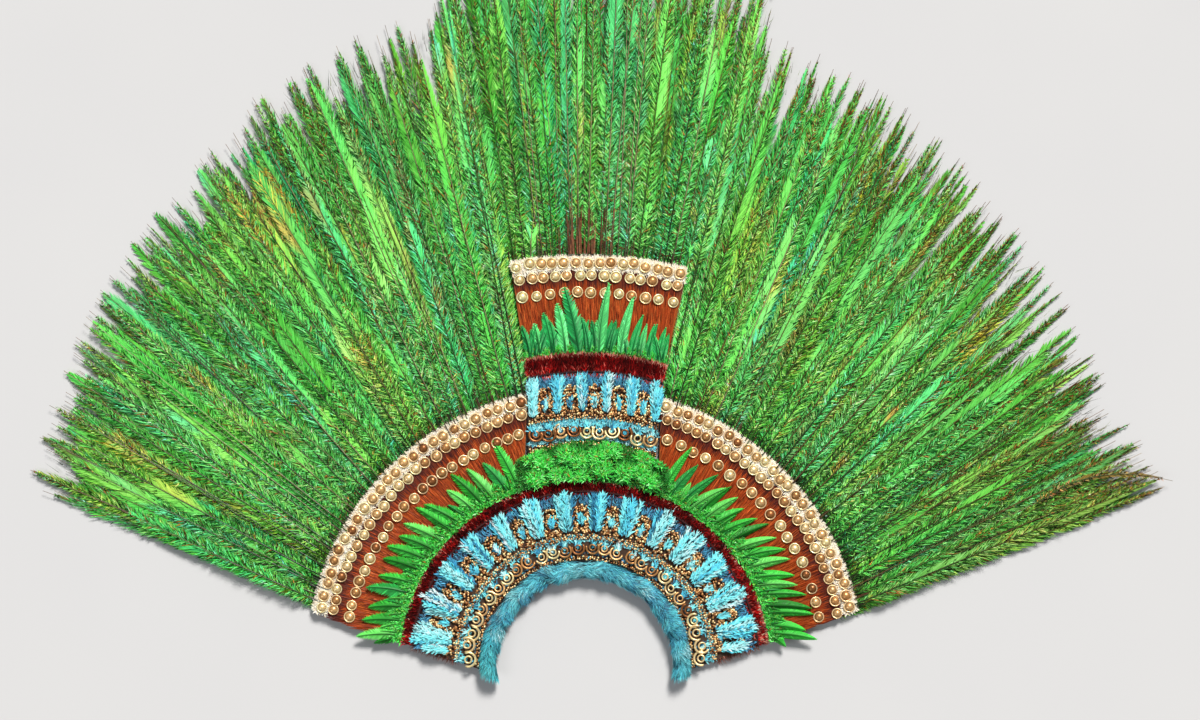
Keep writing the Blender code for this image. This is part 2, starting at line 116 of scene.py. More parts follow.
# %% Where the wings and the block end
def right_end(radius):
    """Angle where the cut across the band's right end meets a ring."""
    return END_SLOPE + np.arcsin(-END_DROP * cos(END_SLOPE) / radius)


def block_side(radius, side):
    """Angle where the side of the block over the middle meets a ring."""
    across = np.arccos(BLOCK_HALF / np.maximum(radius, BLOCK_HALF))
    return (across if side == "right" else pi - across) + TOWER_LEAN


def wing_angle(radius, share, side):
    """Angle a share of the way from a wing's end to the block."""
    end = right_end(radius) if side == "right" else pi - right_end(radius)
    return end + (block_side(radius, side) - end) * share


def band_angle(radius, share):
    """Angle a share of the way along the whole band, from its right end to its left."""
    return right_end(radius) + (pi - 2 * right_end(radius)) * share


# %% Points of the block
def on_tower(across, level, height):
    """Points of the block: across runs from -1 to 1, level is the distance up its middle line."""
    x = across * np.interp(level, TOWER_LEVELS, TOWER_HALVES)
    y = level - TOWER_BOW * np.square(across)
    turned_x = x * cos(TOWER_LEAN) - y * sin(TOWER_LEAN)
    turned_y = x * sin(TOWER_LEAN) + y * cos(TOWER_LEAN)
    return points_at(HEAD[0] + turned_x, HEAD[1] + turned_y, height)


# %% [markdown]
# ## Camera, light and floor
#
# The headdress lies on its back and is looked at from straight above. One strong soft light comes
# from beyond the plume tips, low enough to rake across the barbs and show their relief. A weaker one
# from the other side keeps the shadows open. Both are sun lights with a wide angle: their light is
# as soft as a studio lamp's, but just as strong everywhere, so the plain pale floor has no bright
# pool on it. The surround lights only a little, and is as pale as the floor where it is seen.
# %% Camera
SHOWN_WIDTH, LENS, SENSOR = 1.8456, 85.0, 36.0
CENTRE_SHOWN = Vector((0.0048, -0.0952, 0.0))
bpy.ops.object.select_all(action="DESELECT")
distance = SHOWN_WIDTH * LENS / SENSOR
bpy.ops.object.camera_add(location=CENTRE_SHOWN + Vector((0, 0, distance)), rotation=(0, 0, 0))
camera = bpy.context.object
camera.data.lens, camera.data.sensor_width = LENS, SENSOR
bpy.context.scene.camera = camera
print("camera is", round(distance, 2), "m above the floor")

# %% Lights, surround and floor
def soft_light(name, place, softness, strength, tone):
    """An even light that shines from a place towards the middle of the headdress."""
    bpy.ops.object.light_add(type="SUN", location=place)
    light = bpy.context.object
    light.name = name
    light.data.angle, light.data.energy, light.data.color = radians(softness), strength, tone
    light.rotation_euler = (Vector(place) - CENTRE_SHOWN).to_track_quat("Z", "Y").to_euler()
    return light


soft_light("key_light", (1.7, 4.5, 4.6), 15, 4.45, (1.0, 0.97, 0.93))
soft_light("fill_light", (-2.4, -1.4, 2.6), 30, 0.52, (0.93, 0.97, 1.0))
world = bpy.data.worlds.new("studio")
bpy.context.scene.world = world
world.use_nodes = True
lit = world.node_tree.nodes["Background"]
lit.inputs["Color"].default_value = (0.80, 0.82, 0.85, 1)
lit.inputs["Strength"].default_value = 0.26
made = world.node_tree.nodes.new
seen, path, both = made("ShaderNodeBackground"), made("ShaderNodeLightPath"), made("ShaderNodeMixShader")
seen.inputs["Color"].default_value = (0.70, 0.70, 0.69, 1)
for start, end in ((path.outputs["Is Camera Ray"], both.inputs["Fac"]),
                   (lit.outputs["Background"], both.inputs[1]),
                   (seen.outputs["Background"], both.inputs[2]),
                   (both.outputs["Shader"], world.node_tree.nodes["World Output"].inputs["Surface"])):
    world.node_tree.links.new(start, end)
bpy.context.scene.view_settings.view_transform = "Standard"

bpy.ops.mesh.primitive_plane_add(size=24, location=(0, 0, -0.0012))
floor = bpy.context.object
floor.name = "floor"
floor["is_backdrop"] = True

# %% [markdown]
# ## Shader maths as plain sums
#
# A procedural finish is a net of small nodes, and long to write out. We wrap a node's output in a
# class that knows plus, minus, times and powers, so that a pattern reads like a formula. Colours go
# through a Mix node, because a Math node would turn them grey. A second class holds a material
# and the few nodes that all the finishes here are built from.
# %% A class for sockets
class Signal:
    """A node's output that can be used in sums."""

    def __init__(self, finish, socket):
        self.finish, self.socket = finish, socket

    def maths(self, operation, first, second):
        return self.finish.node("ShaderNodeMath", {"operation": operation}, {0: first, 1: second})

    def __add__(self, other):
        return self.maths("ADD", self, other)

    def __sub__(self, other):
        return self.maths("SUBTRACT", self, other)

    def __rsub__(self, other):
        return self.maths("SUBTRACT", other, self)

    def __mul__(self, other):
        return self.maths("MULTIPLY", self, other)

    def __pow__(self, other):
        return self.maths("POWER", self, other)

    __radd__, __rmul__ = __add__, __mul__


# %% A class for finishes
class Finish:
    """A material for one slot of the CAD model, with the few things that every finish here needs."""

    def __init__(self, name, slot=None, **constants):
        self.slot = slot
        self.material = bpy.data.materials.new(name)
        self.material.use_nodes = True
        self.tree = self.material.node_tree
        self.shader = self.tree.nodes["Principled BSDF"]
        for socket, value in constants.items():
            self.shader.inputs[socket.replace("_", " ")].default_value = value

    def node(self, kind, settings=None, values=None, output=0):
        """Adds a node: its settings first, then a number, a colour or a link for each socket."""
        made = self.tree.nodes.new(kind)
        for key, value in (settings or {}).items():
            setattr(made, key, value)
        for key, value in (values or {}).items():
            if isinstance(value, Signal):
                self.tree.links.new(value.socket, made.inputs[key])
            else:
                made.inputs[key].default_value = value
        return Signal(self, made.outputs[output])

    def feed(self, socket, signal):
        self.tree.links.new(signal.socket, self.shader.inputs[socket])

    def place(self):
        return self.node("ShaderNodeTexCoord", output="Object")

    def noise(self, scale, detail=2.0, where=None, roughness=0.5):
        """Cloudy noise from 0 to 1, with this many swells in a metre."""
        return self.node("ShaderNodeTexNoise", {}, {
            "Vector": where or self.place(), "Scale": scale, "Detail": detail, "Roughness": roughness})

    def tint(self):
        """The colour that was written into the mesh for each copy."""
        return self.node("ShaderNodeAttribute", {"attribute_name": "Tint"}, output="Color")

    def mix(self, share, first, second, blend="MIX"):
        sockets = {0: share, 6: first, 7: second}
        return self.node("ShaderNodeMix", {"data_type": "RGBA", "blend_type": blend}, sockets, output=2)

    def ramp(self, signal, low, high):
        """Stretches a signal so that low becomes 0 and high becomes 1, and clips it there."""
        return self.node("ShaderNodeMapRange", {}, {"Value": signal, "From Min": low, "From Max": high})

    def bump(self, height, strength, distance):
        self.feed("Normal", self.node("ShaderNodeBump", {}, {
            "Height": height, "Strength": strength, "Distance": distance}))


# %% Chart colours, and the finish of the floor
def shade(red, green, blue):
    """A colour as a paint chart gives it, from 0 to 255, made linear for the shader."""
    chart = np.array([red, green, blue]) / 255
    return np.where(chart <= 0.04045, chart / 12.92, ((chart + 0.055) / 1.055) ** 2.4)


def shades(*charts):
    return np.array([shade(*chart) for chart in charts])


floor_finish = Finish("pale_floor", Roughness=0.85)
floor_finish.feed("Base Color", floor_finish.mix(
    floor_finish.noise(3.0), (0.60, 0.60, 0.61, 1), (0.63, 0.63, 0.63, 1)))
floor.data.materials.append(floor_finish.material)
print("finish of the floor:", floor_finish.material.name)

# %% [markdown]
# ## One model, many copies
#
# A plume has hundreds of barbs that differ only in place, size and colour. Modelling one and copying it by a
# matrix is how a feather is built here: the model is made once, its points are read as an array, and every
# copy is that array turned, stretched and moved. All copies are joined into one mesh. Each copy gets its own
# colour from root to tip, stored in the mesh as "Tint", and its own cell in a texture map, so the finish can
# be baked.
# %% Select a piece, and edit it by place
def only(piece):
    bpy.ops.object.select_all(action="DESELECT")
    piece.select_set(True)
    bpy.context.view_layer.objects.active = piece


def edit(piece, chosen=None):
    """Enters edit mode with only the points chosen by their place selected, or all of them."""
    only(piece)
    for vertex in piece.data.vertices:
        vertex.select = chosen is None or bool(chosen(vertex.co))
    for other in (*piece.data.edges, *piece.data.polygons):
        other.select = all(piece.data.vertices[i].select for i in other.vertices)
    bpy.ops.object.mode_set(mode="EDIT")


def done():
    bpy.ops.object.mode_set(mode="OBJECT")


def move_points(piece, chosen, step):
    edit(piece, chosen)
    bpy.ops.transform.translate(value=step)
    done()


def apply_place(piece):
    only(piece)
    bpy.ops.object.transform_apply(location=True, rotation=True, scale=True)


# %% Read a model as arrays
def read_model(model):
    """Cuts a model into triangles in a fixed order, unwraps it, reads it as arrays and takes it away."""
    edit(model)
    bpy.ops.mesh.quads_convert_to_tris(quad_method="FIXED", ngon_method="CLIP")
    done()
    mesh = model.data
    points = np.array([vertex.co[:] for vertex in mesh.vertices])
    corners = np.array([polygon.vertices[:] for polygon in mesh.polygons])
    first = corners.argmin(axis=1)[:, None]
    corners = np.take_along_axis(corners, (first + np.arange(3)) % 3, axis=1)
    corners = corners[np.lexsort(corners.T[::-1])]
    mesh.clear_geometry()
    mesh.from_pydata(points, [], corners)
    edit(model)
    bpy.ops.uv.smart_project(island_margin=0.03)
    done()
    places = np.empty(len(mesh.loops) * 2)
    mesh.uv_layers.active.data.foreach_get("uv", places)
    bpy.data.objects.remove(model, do_unlink=True)
    print("model of", len(corners), "triangles")
    return points, corners, places.reshape(-1, 3, 2)


# %% Stamp copies of a model
def copies(model, origins, axes, root, tip=None):
    """Stamped copies as arrays. Each one's axes say where the model's x, y and z go."""
    points, corners, places = model
    count = len(origins)
    spots = origins[:, None, :] + np.einsum("vk,nkj->nvj", points, axes)
    faces = np.arange(count)[:, None, None] * len(points) + corners[None]
    charts = np.broadcast_to(places, (count, *places.shape)).copy()
    mirrored = np.linalg.det(axes) < 0
    faces[mirrored] = faces[mirrored][:, :, ::-1]
    charts[mirrored] = charts[mirrored][:, :, ::-1]
    length = np.clip(points[:, 0], 0, 1)[None, :, None]
    tip = root if tip is None else tip
    tints = root[:, None, :] * (1 - length) + tip[:, None, :] * length
    return spots, faces, charts, tints


# %% Join copies into one mesh
LOWEST = 0.0002
CELL_SHARE, CELL_MARGIN = 0.94, 0.03


def join(name, parts):
    """One mesh object out of several sets of stamped copies, none of them below the floor."""
    cells = sum(len(part[0]) for part in parts)
    side = int(np.ceil(np.sqrt(cells)))
    spots, faces, charts, tints = [], [], [], []
    used_points, used_cells = 0, 0
    for part_spots, part_faces, part_charts, part_tints in parts:
        count = len(part_spots)
        cell = np.arange(used_cells, used_cells + count)
        corner = np.stack([cell % side, cell // side], axis=-1)[:, None, None, :]
        spots.append(part_spots.reshape(-1, 3))
        faces.append(part_faces.reshape(-1, 3) + used_points)
        charts.append(((part_charts * CELL_SHARE + CELL_MARGIN + corner) / side).reshape(-1, 2))
        tints.append(part_tints.reshape(-1, 3))
        used_points += len(spots[-1])
        used_cells += count
    spots, faces, charts, tints = map(np.concatenate, (spots, faces, charts, tints))
    spots[:, 2] = np.maximum(spots[:, 2], LOWEST)
    mesh = bpy.data.meshes.new(name)
    mesh.vertices.add(len(spots))
    mesh.loops.add(faces.size)
    mesh.polygons.add(len(faces))
    mesh.vertices.foreach_set("co", spots.ravel())
    mesh.loops.foreach_set("vertex_index", faces.ravel())
    mesh.polygons.foreach_set("loop_start", np.arange(0, faces.size, 3))
    mesh.polygons.foreach_set("use_smooth", np.ones(len(faces), bool))
    mesh.uv_layers.new(name="OFBake").data.foreach_set("uv", charts.ravel())
    written = np.concatenate([np.clip(tints, 0, 1), np.ones((len(tints), 1))], axis=1)
    mesh.color_attributes.new("Tint", "FLOAT_COLOR", "POINT").data.foreach_set("color", written.ravel())
    mesh.update(calc_edges=True)
    mesh.validate()
    piece = bpy.data.objects.new(name, mesh)
    bpy.context.scene.collection.objects.link(piece)
    return piece


# %% Settle a piece in the frame
def settle(piece, finish, nodes=()):
    """Gives a piece its finish and its body, and lets it stand for CAD nodes."""
    piece.data.materials.clear()
    piece.data.materials.append(finish.material)
    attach(piece, "root")
    if nodes:
        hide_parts(*nodes)
    print(piece.name, "has", len(piece.data.polygons), "faces and stands for", len(nodes), "nodes")


# %% Turn copies, and draw random numbers
def lay(heading, climb, roll, length, width, depth):
    """Axes for copies that point along a heading, climb out of the floor and roll on their length."""
    facts = np.broadcast_arrays(heading, climb, roll, length, width, depth)
    heading, climb, roll, length, width, depth = facts
    ahead = points_at(np.cos(heading) * np.cos(climb), np.sin(heading) * np.cos(climb), np.sin(climb))
    aside = points_at(-np.sin(heading), np.cos(heading), 0)
    above = np.cross(ahead, aside)
    turned = aside * np.cos(roll)[:, None] + above * np.sin(roll)[:, None]
    raised = above * np.cos(roll)[:, None] - aside * np.sin(roll)[:, None]
    return np.stack([ahead * length[:, None], turned * width[:, None], raised * depth[:, None]], axis=1)


def chances(name):
    """A fixed run of random numbers for each piece, so a change to one leaves the others alone."""
    return np.random.default_rng(sum(ord(letter) * (i + 1) for i, letter in enumerate(name)))

# %% [markdown]
# ## Barbs and a length of quill
#
# Where barbs are hooked together each one is a narrow blade that overlaps the next; where they have
# come apart each one is a hair that ends in a point. The blade starts as a circle of four points,
# which is already a lozenge, and the hair as a circle of three. We move one corner at a time: the
# sides back, the tip forward and down. A quill is drawn as short three-sided lengths, each a little
# thinner than the one before.
# %% Model a blade, and a curl that bends aside
def make_blade(forward, droop):
    bpy.ops.mesh.primitive_circle_add(vertices=4, radius=0.5, fill_type="NGON", location=(0.5, 0, 0))
    blade = bpy.context.object
    apply_place(blade)
    move_points(blade, lambda co: co.x > 0.9, (0, forward, -droop))
    move_points(blade, lambda co: abs(co.y) > 0.4 and co.x < 0.9, (-0.06, 0.2 * forward, -0.25))
    return read_model(blade)


blade, curl = make_blade(0.9, 0.2), make_blade(2.6, 0.5)


# %% Model a hair
def make_hair():
    bpy.ops.mesh.primitive_circle_add(vertices=3, radius=0.5, fill_type="NGON")
    hair = bpy.context.object
    move_points(hair, lambda co: co.y > 0.4, (1, -0.5, -0.3))
    move_points(hair, lambda co: co.x < -0.4, (0.433, 0.75, 0))
    move_points(hair, lambda co: 0.4 < co.x < 0.5, (-0.433, -0.25, 0))
    return read_model(hair)


hair = make_hair()

# %% Model a length of quill
QUILL_THINS = 0.89


def make_quill_length(thinner):
    bpy.ops.mesh.primitive_cylinder_add(vertices=3, radius=0.5, depth=1, end_fill_type="NOTHING",
                                        location=(0.5, 0, 0), rotation=(0, pi / 2, 0))
    length = bpy.context.object
    apply_place(length)
    edit(length, lambda co: co.x > 0.9)
    bpy.ops.transform.resize(value=(1, thinner, thinner), center_override=(1, 0, 0))
    done()
    return read_model(length)


quill_length = make_quill_length(QUILL_THINS)

# %% [markdown]
# ## The fan of plumes
#
# A long plume is a quill with a vane on each side. We lay four layers: whole plumes at the bottom, painted
# dark as shade, then bright tips round the rim, then two layers whose plumes end at many lengths, so that
# tips show inside the fan as well as round it. A small class keeps where the quills of one layer run, and the
# reach of the fan and its colours are listed first.
# %% Reach of the fan and its colours
REACH_DEGREES = (21.6, 31, 46, 56.5, 64, 75, 75.2, 88, 100.6, 100.8, 109, 119, 127, 136, 146, 157.2)
REACH_METRES = (0.971, 0.956, 1.005, 1.044, 1.080, 1.098, 1.210, 1.223, 1.210,
                1.135, 1.118, 1.085, 1.045, 1.012, 0.976, 0.934)
FAN_FIRST, FAN_LAST = radians(REACH_DEGREES[0]), radians(REACH_DEGREES[-1])
GREENS = shades((84, 198, 76), (92, 210, 90), (76, 184, 66), (120, 212, 84), (78, 206, 112), (126, 192, 66),
                (60, 188, 104))
GREEN_SHARES = np.array([0.27, 0.22, 0.18, 0.09, 0.12, 0.06, 0.06])
ACCENTS = shades((66, 196, 150), (172, 196, 70), (190, 130, 48), (122, 76, 38))
AUTUMN = ((122.3, 0.92, 3.6, 0.10), (44.3, 0.83, 2.2, 0.09),       # angle, distance, and half a patch's
          (23.7, 0.88, 1.3, 0.06), (150.0, 0.80, 1.6, 0.07))        # width in degrees and length in metres
AUTUMN_TONES = shades((192, 196, 62), (196, 166, 58), (166, 204, 70), (184, 184, 64), (160, 130, 50))
DRIFT_TONES = (shade(150, 196, 48), shade(44, 158, 92))
RIM_OUTER, BAND_EDGE, TOWER_TOP, QUILLS_FROM = 0.428, 0.43, 0.634, 0.395
DEEP_GREEN, TIP_BROWN, OLIVE = shades((18, 62, 18), (148, 94, 40), (96, 106, 38))
# Painted light: a lighter barb is painted paler and a darker one more saturated, and GLINT adds a painted
# highlight.
PALER, GLINT, MOST_LIGHT = np.array([1.30, 1.0, 1.36]), 0.06, 1.8      # a lit barb is paler too


def within(angle, first, last):
    """Whether angles lie between two others, which are given in degrees."""
    return (angle > radians(first)) & (angle < radians(last))


def reach_at(angle):
    return np.interp(np.degrees(angle), REACH_DEGREES, REACH_METRES)


def from_focus(radius, angle):
    """Distance along a quill's line at which it crosses a ring about the head centre."""
    drop = HEAD[1] - FOCUS[1]
    along = drop * np.sin(angle)
    return along + np.sqrt(along * along - drop * drop + radius * radius)


# %% Where the quills of a layer run
LONG_SHARE, BARE_BED = 0.26, 0.0012
BEHIND_BLOCK, OVER_BLOCK = (76.8, 99.4), (75.1, 100.7)       # degrees


class Quills:
    """Quills of one layer, spread between two angles."""

    def __init__(self, chance, angles, count, shares, level):
        first, last = angles
        self.count = count
        place = (np.arange(count) + chance.uniform(0.05, 0.95, count)) / count
        self.angle = first + place * (last - first)
        self.left = (self.angle - FAN_FIRST) / (FAN_LAST - FAN_FIRST)
        share = chance.uniform(*shares, count)
        outer = chance.random(count) < LONG_SHARE
        self.share = np.where(outer, np.maximum(share, chance.uniform(0.90, 0.985, count)), share)
        hidden = within(self.angle, *BEHIND_BLOCK)
        self.start = from_focus(np.where(hidden, TOWER_TOP - 0.02, QUILLS_FROM), self.angle)
        self.length = reach_at(self.angle) * self.share - self.start
        self.lean = chance.normal(0, radians(0.7), count)
        self.bend = chance.normal(0, 0.007, count)
        self.height = chance.uniform(*level, count)

    def keep_from(self, share):
        """Leaves out the foot of each plume, up to a share of its way from the plume centre."""
        whole = self.start + self.length
        self.start = np.maximum(self.start, whole * share)
        self.length = whole - self.start

    def slope(self, owner, t):
        """How far a quill has turned from its ray at a share t of the way up, in radians."""
        return self.lean[owner] + 2 * self.bend[owner] * t / self.length[owner]

    def along(self, owner, t):
        """Distance, angle and height of places a share t of the way up their quills."""
        distance = self.start[owner] + self.length[owner] * t
        aside = self.lean[owner] * self.length[owner] * t + self.bend[owner] * t ** 2
        angle = self.angle[owner] + aside / distance
        bed = np.interp(distance / reach_at(angle), (0.50, 1.0), (0.0175, 0.0066))
        above_block = within(angle, *OVER_BLOCK)
        edge = from_focus(np.where(above_block, TOWER_TOP, RIM_OUTER), self.angle[owner])
        pressed = np.interp(distance - edge, (0, 0.018), (0.40, 1))
        return distance, angle, (BARE_BED + bed * self.height[owner]) * pressed


# %% Slow changes of colour over the whole fan
def drift(name, distance, angle):
    """Long soft patches over the fan, mostly from -1 to 1."""
    chance, patches = chances(name), 0
    for _ in range(6):
        across, along = chance.uniform(8, 40) * angle, chance.uniform(-24, 24) * distance
        patches = patches + np.sin(across + along + chance.uniform(0, 2 * pi))
    return patches / 2


def autumn(distance, angle):
    """Where the fan has orange and yellow feathers, from 0 to 1."""
    return sum(np.exp(-((np.degrees(angle) - a) / wide) ** 2 - ((distance - d) / far) ** 2)
               for a, d, wide, far in AUTUMN)


# %% [markdown]
# ### The barbs of a layer
#
# The barbs of a whole layer are worked out at once, as arrays with one entry for each barb, in
# short steps: what each plume is like, where its barbs start, how each one lies, its colours, and
# last the small curls on top. Patches of hooked barbs come from slow waves along each side of a
# plume. Loose barbs lean together in small locks, which gives a vane its saw-toothed edge.
# %% What each plume is like
RIGHT_ACCENTS, LEFT_ACCENTS = (0.12, 0.38, 0.28, 0.22), (0.42, 0.34, 0.16, 0.08)
GLOW_AT, GLOW = (0, 0.10, 0.25, 0.4, 0.8, 1), (0.62, 0.74, 0.88, 1, 0.98, 0.82)


def plume_characters(quills, chance, half_width, light, satin_share):
    """Width, tone and light of each plume. left is 0 at the fan's right end and 1 at its left."""
    count, left = quills.count, quills.left
    plume = SimpleNamespace()
    plume.width = chance.uniform(*half_width, count)
    plume.width = plume.width * np.interp(left, (0, 0.15, 0.5, 1), (0.82, 0.9, 1, 1.08))
    plume.tight = chance.uniform(0.55, 1.0, count) * np.interp(left, (0, 0.2, 0.45), (0.72, 0.84, 1))
    plume.slender = chance.random(count) < np.interp(left, (0, 0.25, 0.6, 1), (0.6, 0.4, 0.2, 0.1))
    plume.satin = (chance.random(count) < satin_share) * 1.5
    plume.tone = GREENS[chance.choice(len(GREENS), count, p=GREEN_SHARES)]
    # Painted shade: each plume's tone is scaled by its layer's light, so the lower layers are painted darker.
    plume.glow = light * np.exp(chance.normal(0, 0.29, count)) * np.interp(left, GLOW_AT, GLOW)
    plume.accent = ACCENTS[np.where(left > 0.3, chance.choice(4, count, p=LEFT_ACCENTS),
                                    chance.choice(4, count, p=RIGHT_ACCENTS))]
    plume.accented = chance.random(count) < 0.45
    plume.lock_size = chance.integers(2, 6, count)
    return plume


# %% Where the barbs start, and which of them are hooked together
LOCKS_A_SIDE, PARTED = 120, 0.85


def waves(chance, count, barb, slowest, fastest, threshold, softness):
    """Smooth patches along each side of each plume, from 0 to 1."""
    phase, rate = chance.random((2, count, 2)), chance.uniform(slowest, fastest, (2, count, 2))
    which = barb.owner, (barb.side > 0).astype(int)
    both = sum(np.sin(2 * pi * (rate[k][which] * barb.t + phase[k][which])) for k in (0, 1))
    return np.clip((both - threshold) / softness, 0, 1)


def barbs_along(quills, chance, plume, spacing, hooked):
    """The plume, side and place of each barb, how loose it is, and the lock it leans with."""
    number = (quills.length / spacing).astype(int)
    barb = SimpleNamespace(owner=np.repeat(np.arange(quills.count), 2 * number))
    index = np.arange(len(barb.owner)) - np.repeat(np.cumsum(2 * number) - 2 * number, 2 * number)
    barb.total = len(barb.owner)
    barb.side = np.where(index % 2, 1.0, -1.0)
    step = index // 2
    barb.t = (step + chance.uniform(0.2, 0.8, barb.total)) / number[barb.owner]
    barb.distance, barb.angle, barb.height = quills.along(barb.owner, barb.t)
    needed = hooked - plume.satin[barb.owner] + np.interp(barb.t, (0.12, 0.64), (2.1, 0))
    barb.together = waves(chance, quills.count, barb, 0.5, 2.4, needed, 0.5)
    barb.loose = 1 - barb.together
    size = plume.lock_size[barb.owner]
    shifted = step + (barb.side > 0) * (size // 2)
    lock, in_lock = shifted // size, shifted % size
    barb.parting = (in_lock == 0) & (chance.random(barb.total) < PARTED)
    barb.in_lock = in_lock - (size - 1) / 2
    which = barb.owner * 2 * LOCKS_A_SIDE + lock % LOCKS_A_SIDE + (barb.side > 0) * LOCKS_A_SIDE
    barb.lock_noise = chance.normal(0, 1, (3, quills.count * 2 * LOCKS_A_SIDE))[:, which]
    return barb


# %% How each barb lies
def lay_barbs(quills, chance, plume, barb, spacing):
    """Length, heading, climb and roll of each barb. edge is the outline of a vane."""
    owner, side, t, total = barb.owner, barb.side, barb.t, barb.total
    together, loose = barb.together, barb.loose
    full = np.interp(t, (0, 0.05, 0.62, 0.80, 0.92, 1), (0.7, 1, 1, 0.86, 0.45, 0.10))
    thin = np.interp(t, (0, 0.05, 0.45, 0.7, 0.88, 1), (0.7, 1, 0.94, 0.72, 0.42, 0.10))
    barb.edge = np.where(plume.slender[owner], thin, full)
    splay = np.interp(t, (0, 0.3, 0.8, 1), (57, 47, 33, 17)) * loose
    splay = splay + np.interp(t, (0, 0.8, 1), (30, 25, 15)) * together
    splay = splay + loose * (barb.lock_noise[0] * 9.0 + chance.normal(0, 6.5, total))
    splay = splay + together * (barb.lock_noise[0] * 1.6 + chance.normal(0, 1.0, total))
    splay = np.radians(np.clip(splay * plume.tight[owner], 8, 70))
    out = plume.width[owner] * barb.edge * (1 - 0.14 * loose) / np.sin(np.clip(splay, 0.30, 1.1))
    out = out * np.exp(loose * chance.normal(0, 0.15, total) + together * chance.normal(0, 0.03, total))
    pull = -barb.in_lock * spacing * (0.45 + 0.25 * loose)
    ahead, aside = out * np.cos(splay) + pull, out * np.sin(splay)
    uneven = 1 + 0.10 * together * chance.normal(0, 1, total)
    barb.out = np.clip(np.hypot(ahead, aside), 0.004, 0.034) * uneven
    barb.bearing = barb.angle + quills.slope(owner, t)
    barb.heading = barb.bearing + side * np.arctan2(aside, ahead)
    climb = -0.04 + loose * (barb.lock_noise[1] * 0.05 + chance.normal(0, 0.05, total))
    barb.climb = np.maximum(climb, -(barb.height - 0.0004) / barb.out)
    barb.roll = side * 0.10 + loose * chance.normal(0, 0.45, total)


# %% The colours of each barb
# Painted light: barbs near the band are made lighter, to make up for the shade that the band and the block
# throw there.
NEAR_BAND = ((0, 0.04, 0.2, 0.32, 0.45), (1.42, 1.80, 1.66, 1.27, 0.97))


def base_colours(quills, chance, plume, barb):
    """The plume's green, with patches of an accent, slow drifts, and autumn and olive feathers."""
    owner = barb.owner
    patch = waves(chance, quills.count, barb, 1.0, 3.0, 0.6, 1.2)[:, None]
    patch = patch * plume.accented[owner][:, None] * 0.62
    base = plume.tone[owner] * (1 - patch) + plume.accent[owner] * patch
    for towards, sign in zip(DRIFT_TONES, (1, -1)):
        share = 0.26 * np.clip(sign * drift("colour", barb.distance, barb.angle) - 0.35, 0, 1)[:, None]
        base = base * (1 - share) + towards * share
    turning = np.clip(autumn(barb.distance, barb.angle) - 0.75 * chance.random(quills.count)[owner], 0, 1)
    turned_colour = AUTUMN_TONES[chance.integers(0, len(AUTUMN_TONES), quills.count)][owner]
    base = np.where((turning > 0.16 + 0.8 * chance.random(barb.total))[:, None], turned_colour, base)
    olive = (np.interp(quills.left, (0, 0.35), (0.55, 0)) * chance.random(quills.count))[owner]
    olive = (olive * (0.4 + 0.6 * barb.t))[:, None]
    return base * (1 - olive) + OLIVE * olive


def colour_barbs(quills, chance, plume, barb, only_tone):
    """Root and tip colour of each barb: its base, its painted light and shade, and its brown ends."""
    owner, t, total, together, loose = barb.owner, barb.t, barb.total, barb.together, barb.loose
    base = base_colours(quills, chance, plume, barb)
    if only_tone is not None:
        base = np.broadcast_to(only_tone, base.shape)
    near = np.interp(barb.distance - from_focus(BAND_EDGE, quills.angle[owner]), *NEAR_BAND)
    often_brown = np.interp(quills.left, (0, 0.3, 0.6, 1), (0.9, 0.70, 0.30, 0.22))[owner]
    brown_tip = np.interp(t, (0.72, 1), (0, 0.85)) * often_brown
    # bright is partly tone and partly painted light and shade: locks and barbs lighter or darker at random,
    # lighter near the band, and lighter towards the tip.
    spread = (0.25 + 0.26 * loose) * chance.normal(0, 1, total)
    bright = np.exp((0.15 + 0.19 * loose) * barb.lock_noise[2] + spread - 0.03 * loose)
    bright = bright * plume.glow[owner] * near * (together * 1.00 + loose * 1.34)
    bright = bright * np.exp(0.08 * drift("light", barb.distance, barb.angle))
    bright = bright * np.interp(t, (0.5, 0.9), (1, 1.20))
    hue = (0.07 + 0.21 * loose)[:, None] * chance.normal(0, (1, 0.65), (total, 2))
    hue = np.exp(hue + 0.15 * chance.normal(0, 1, (quills.count, 2))[owner])
    # Painted shade: the first barb of a lock is darker, as the gap where the vane parts.
    bright = MOST_LIGHT * np.tanh(bright / MOST_LIGHT) * np.where(barb.parting, 1 - 0.58 * loose, 1)
    # Painted light: lighter barbs are painted paler, darker ones more saturated, and the lightest get a
    # painted highlight.
    tip = base * bright[:, None] ** PALER + GLINT * np.clip(bright - 1.0, 0, 1)[:, None]
    tip[:, ::2] *= hue
    browned = (chance.random(total) < 0.04 + 0.42 * brown_tip) * (loose > 0.5)
    barb.tip = np.where(browned[:, None], TIP_BROWN * bright[:, None], tip)
    # Painted shade: roots are painted darker than tips, and loose ones lean towards DEEP_GREEN.
    darker = (0.74 + 0.12 * together)[:, None] ** PALER
    barb.root = barb.tip * darker + DEEP_GREEN * (0.10 * loose)[:, None]


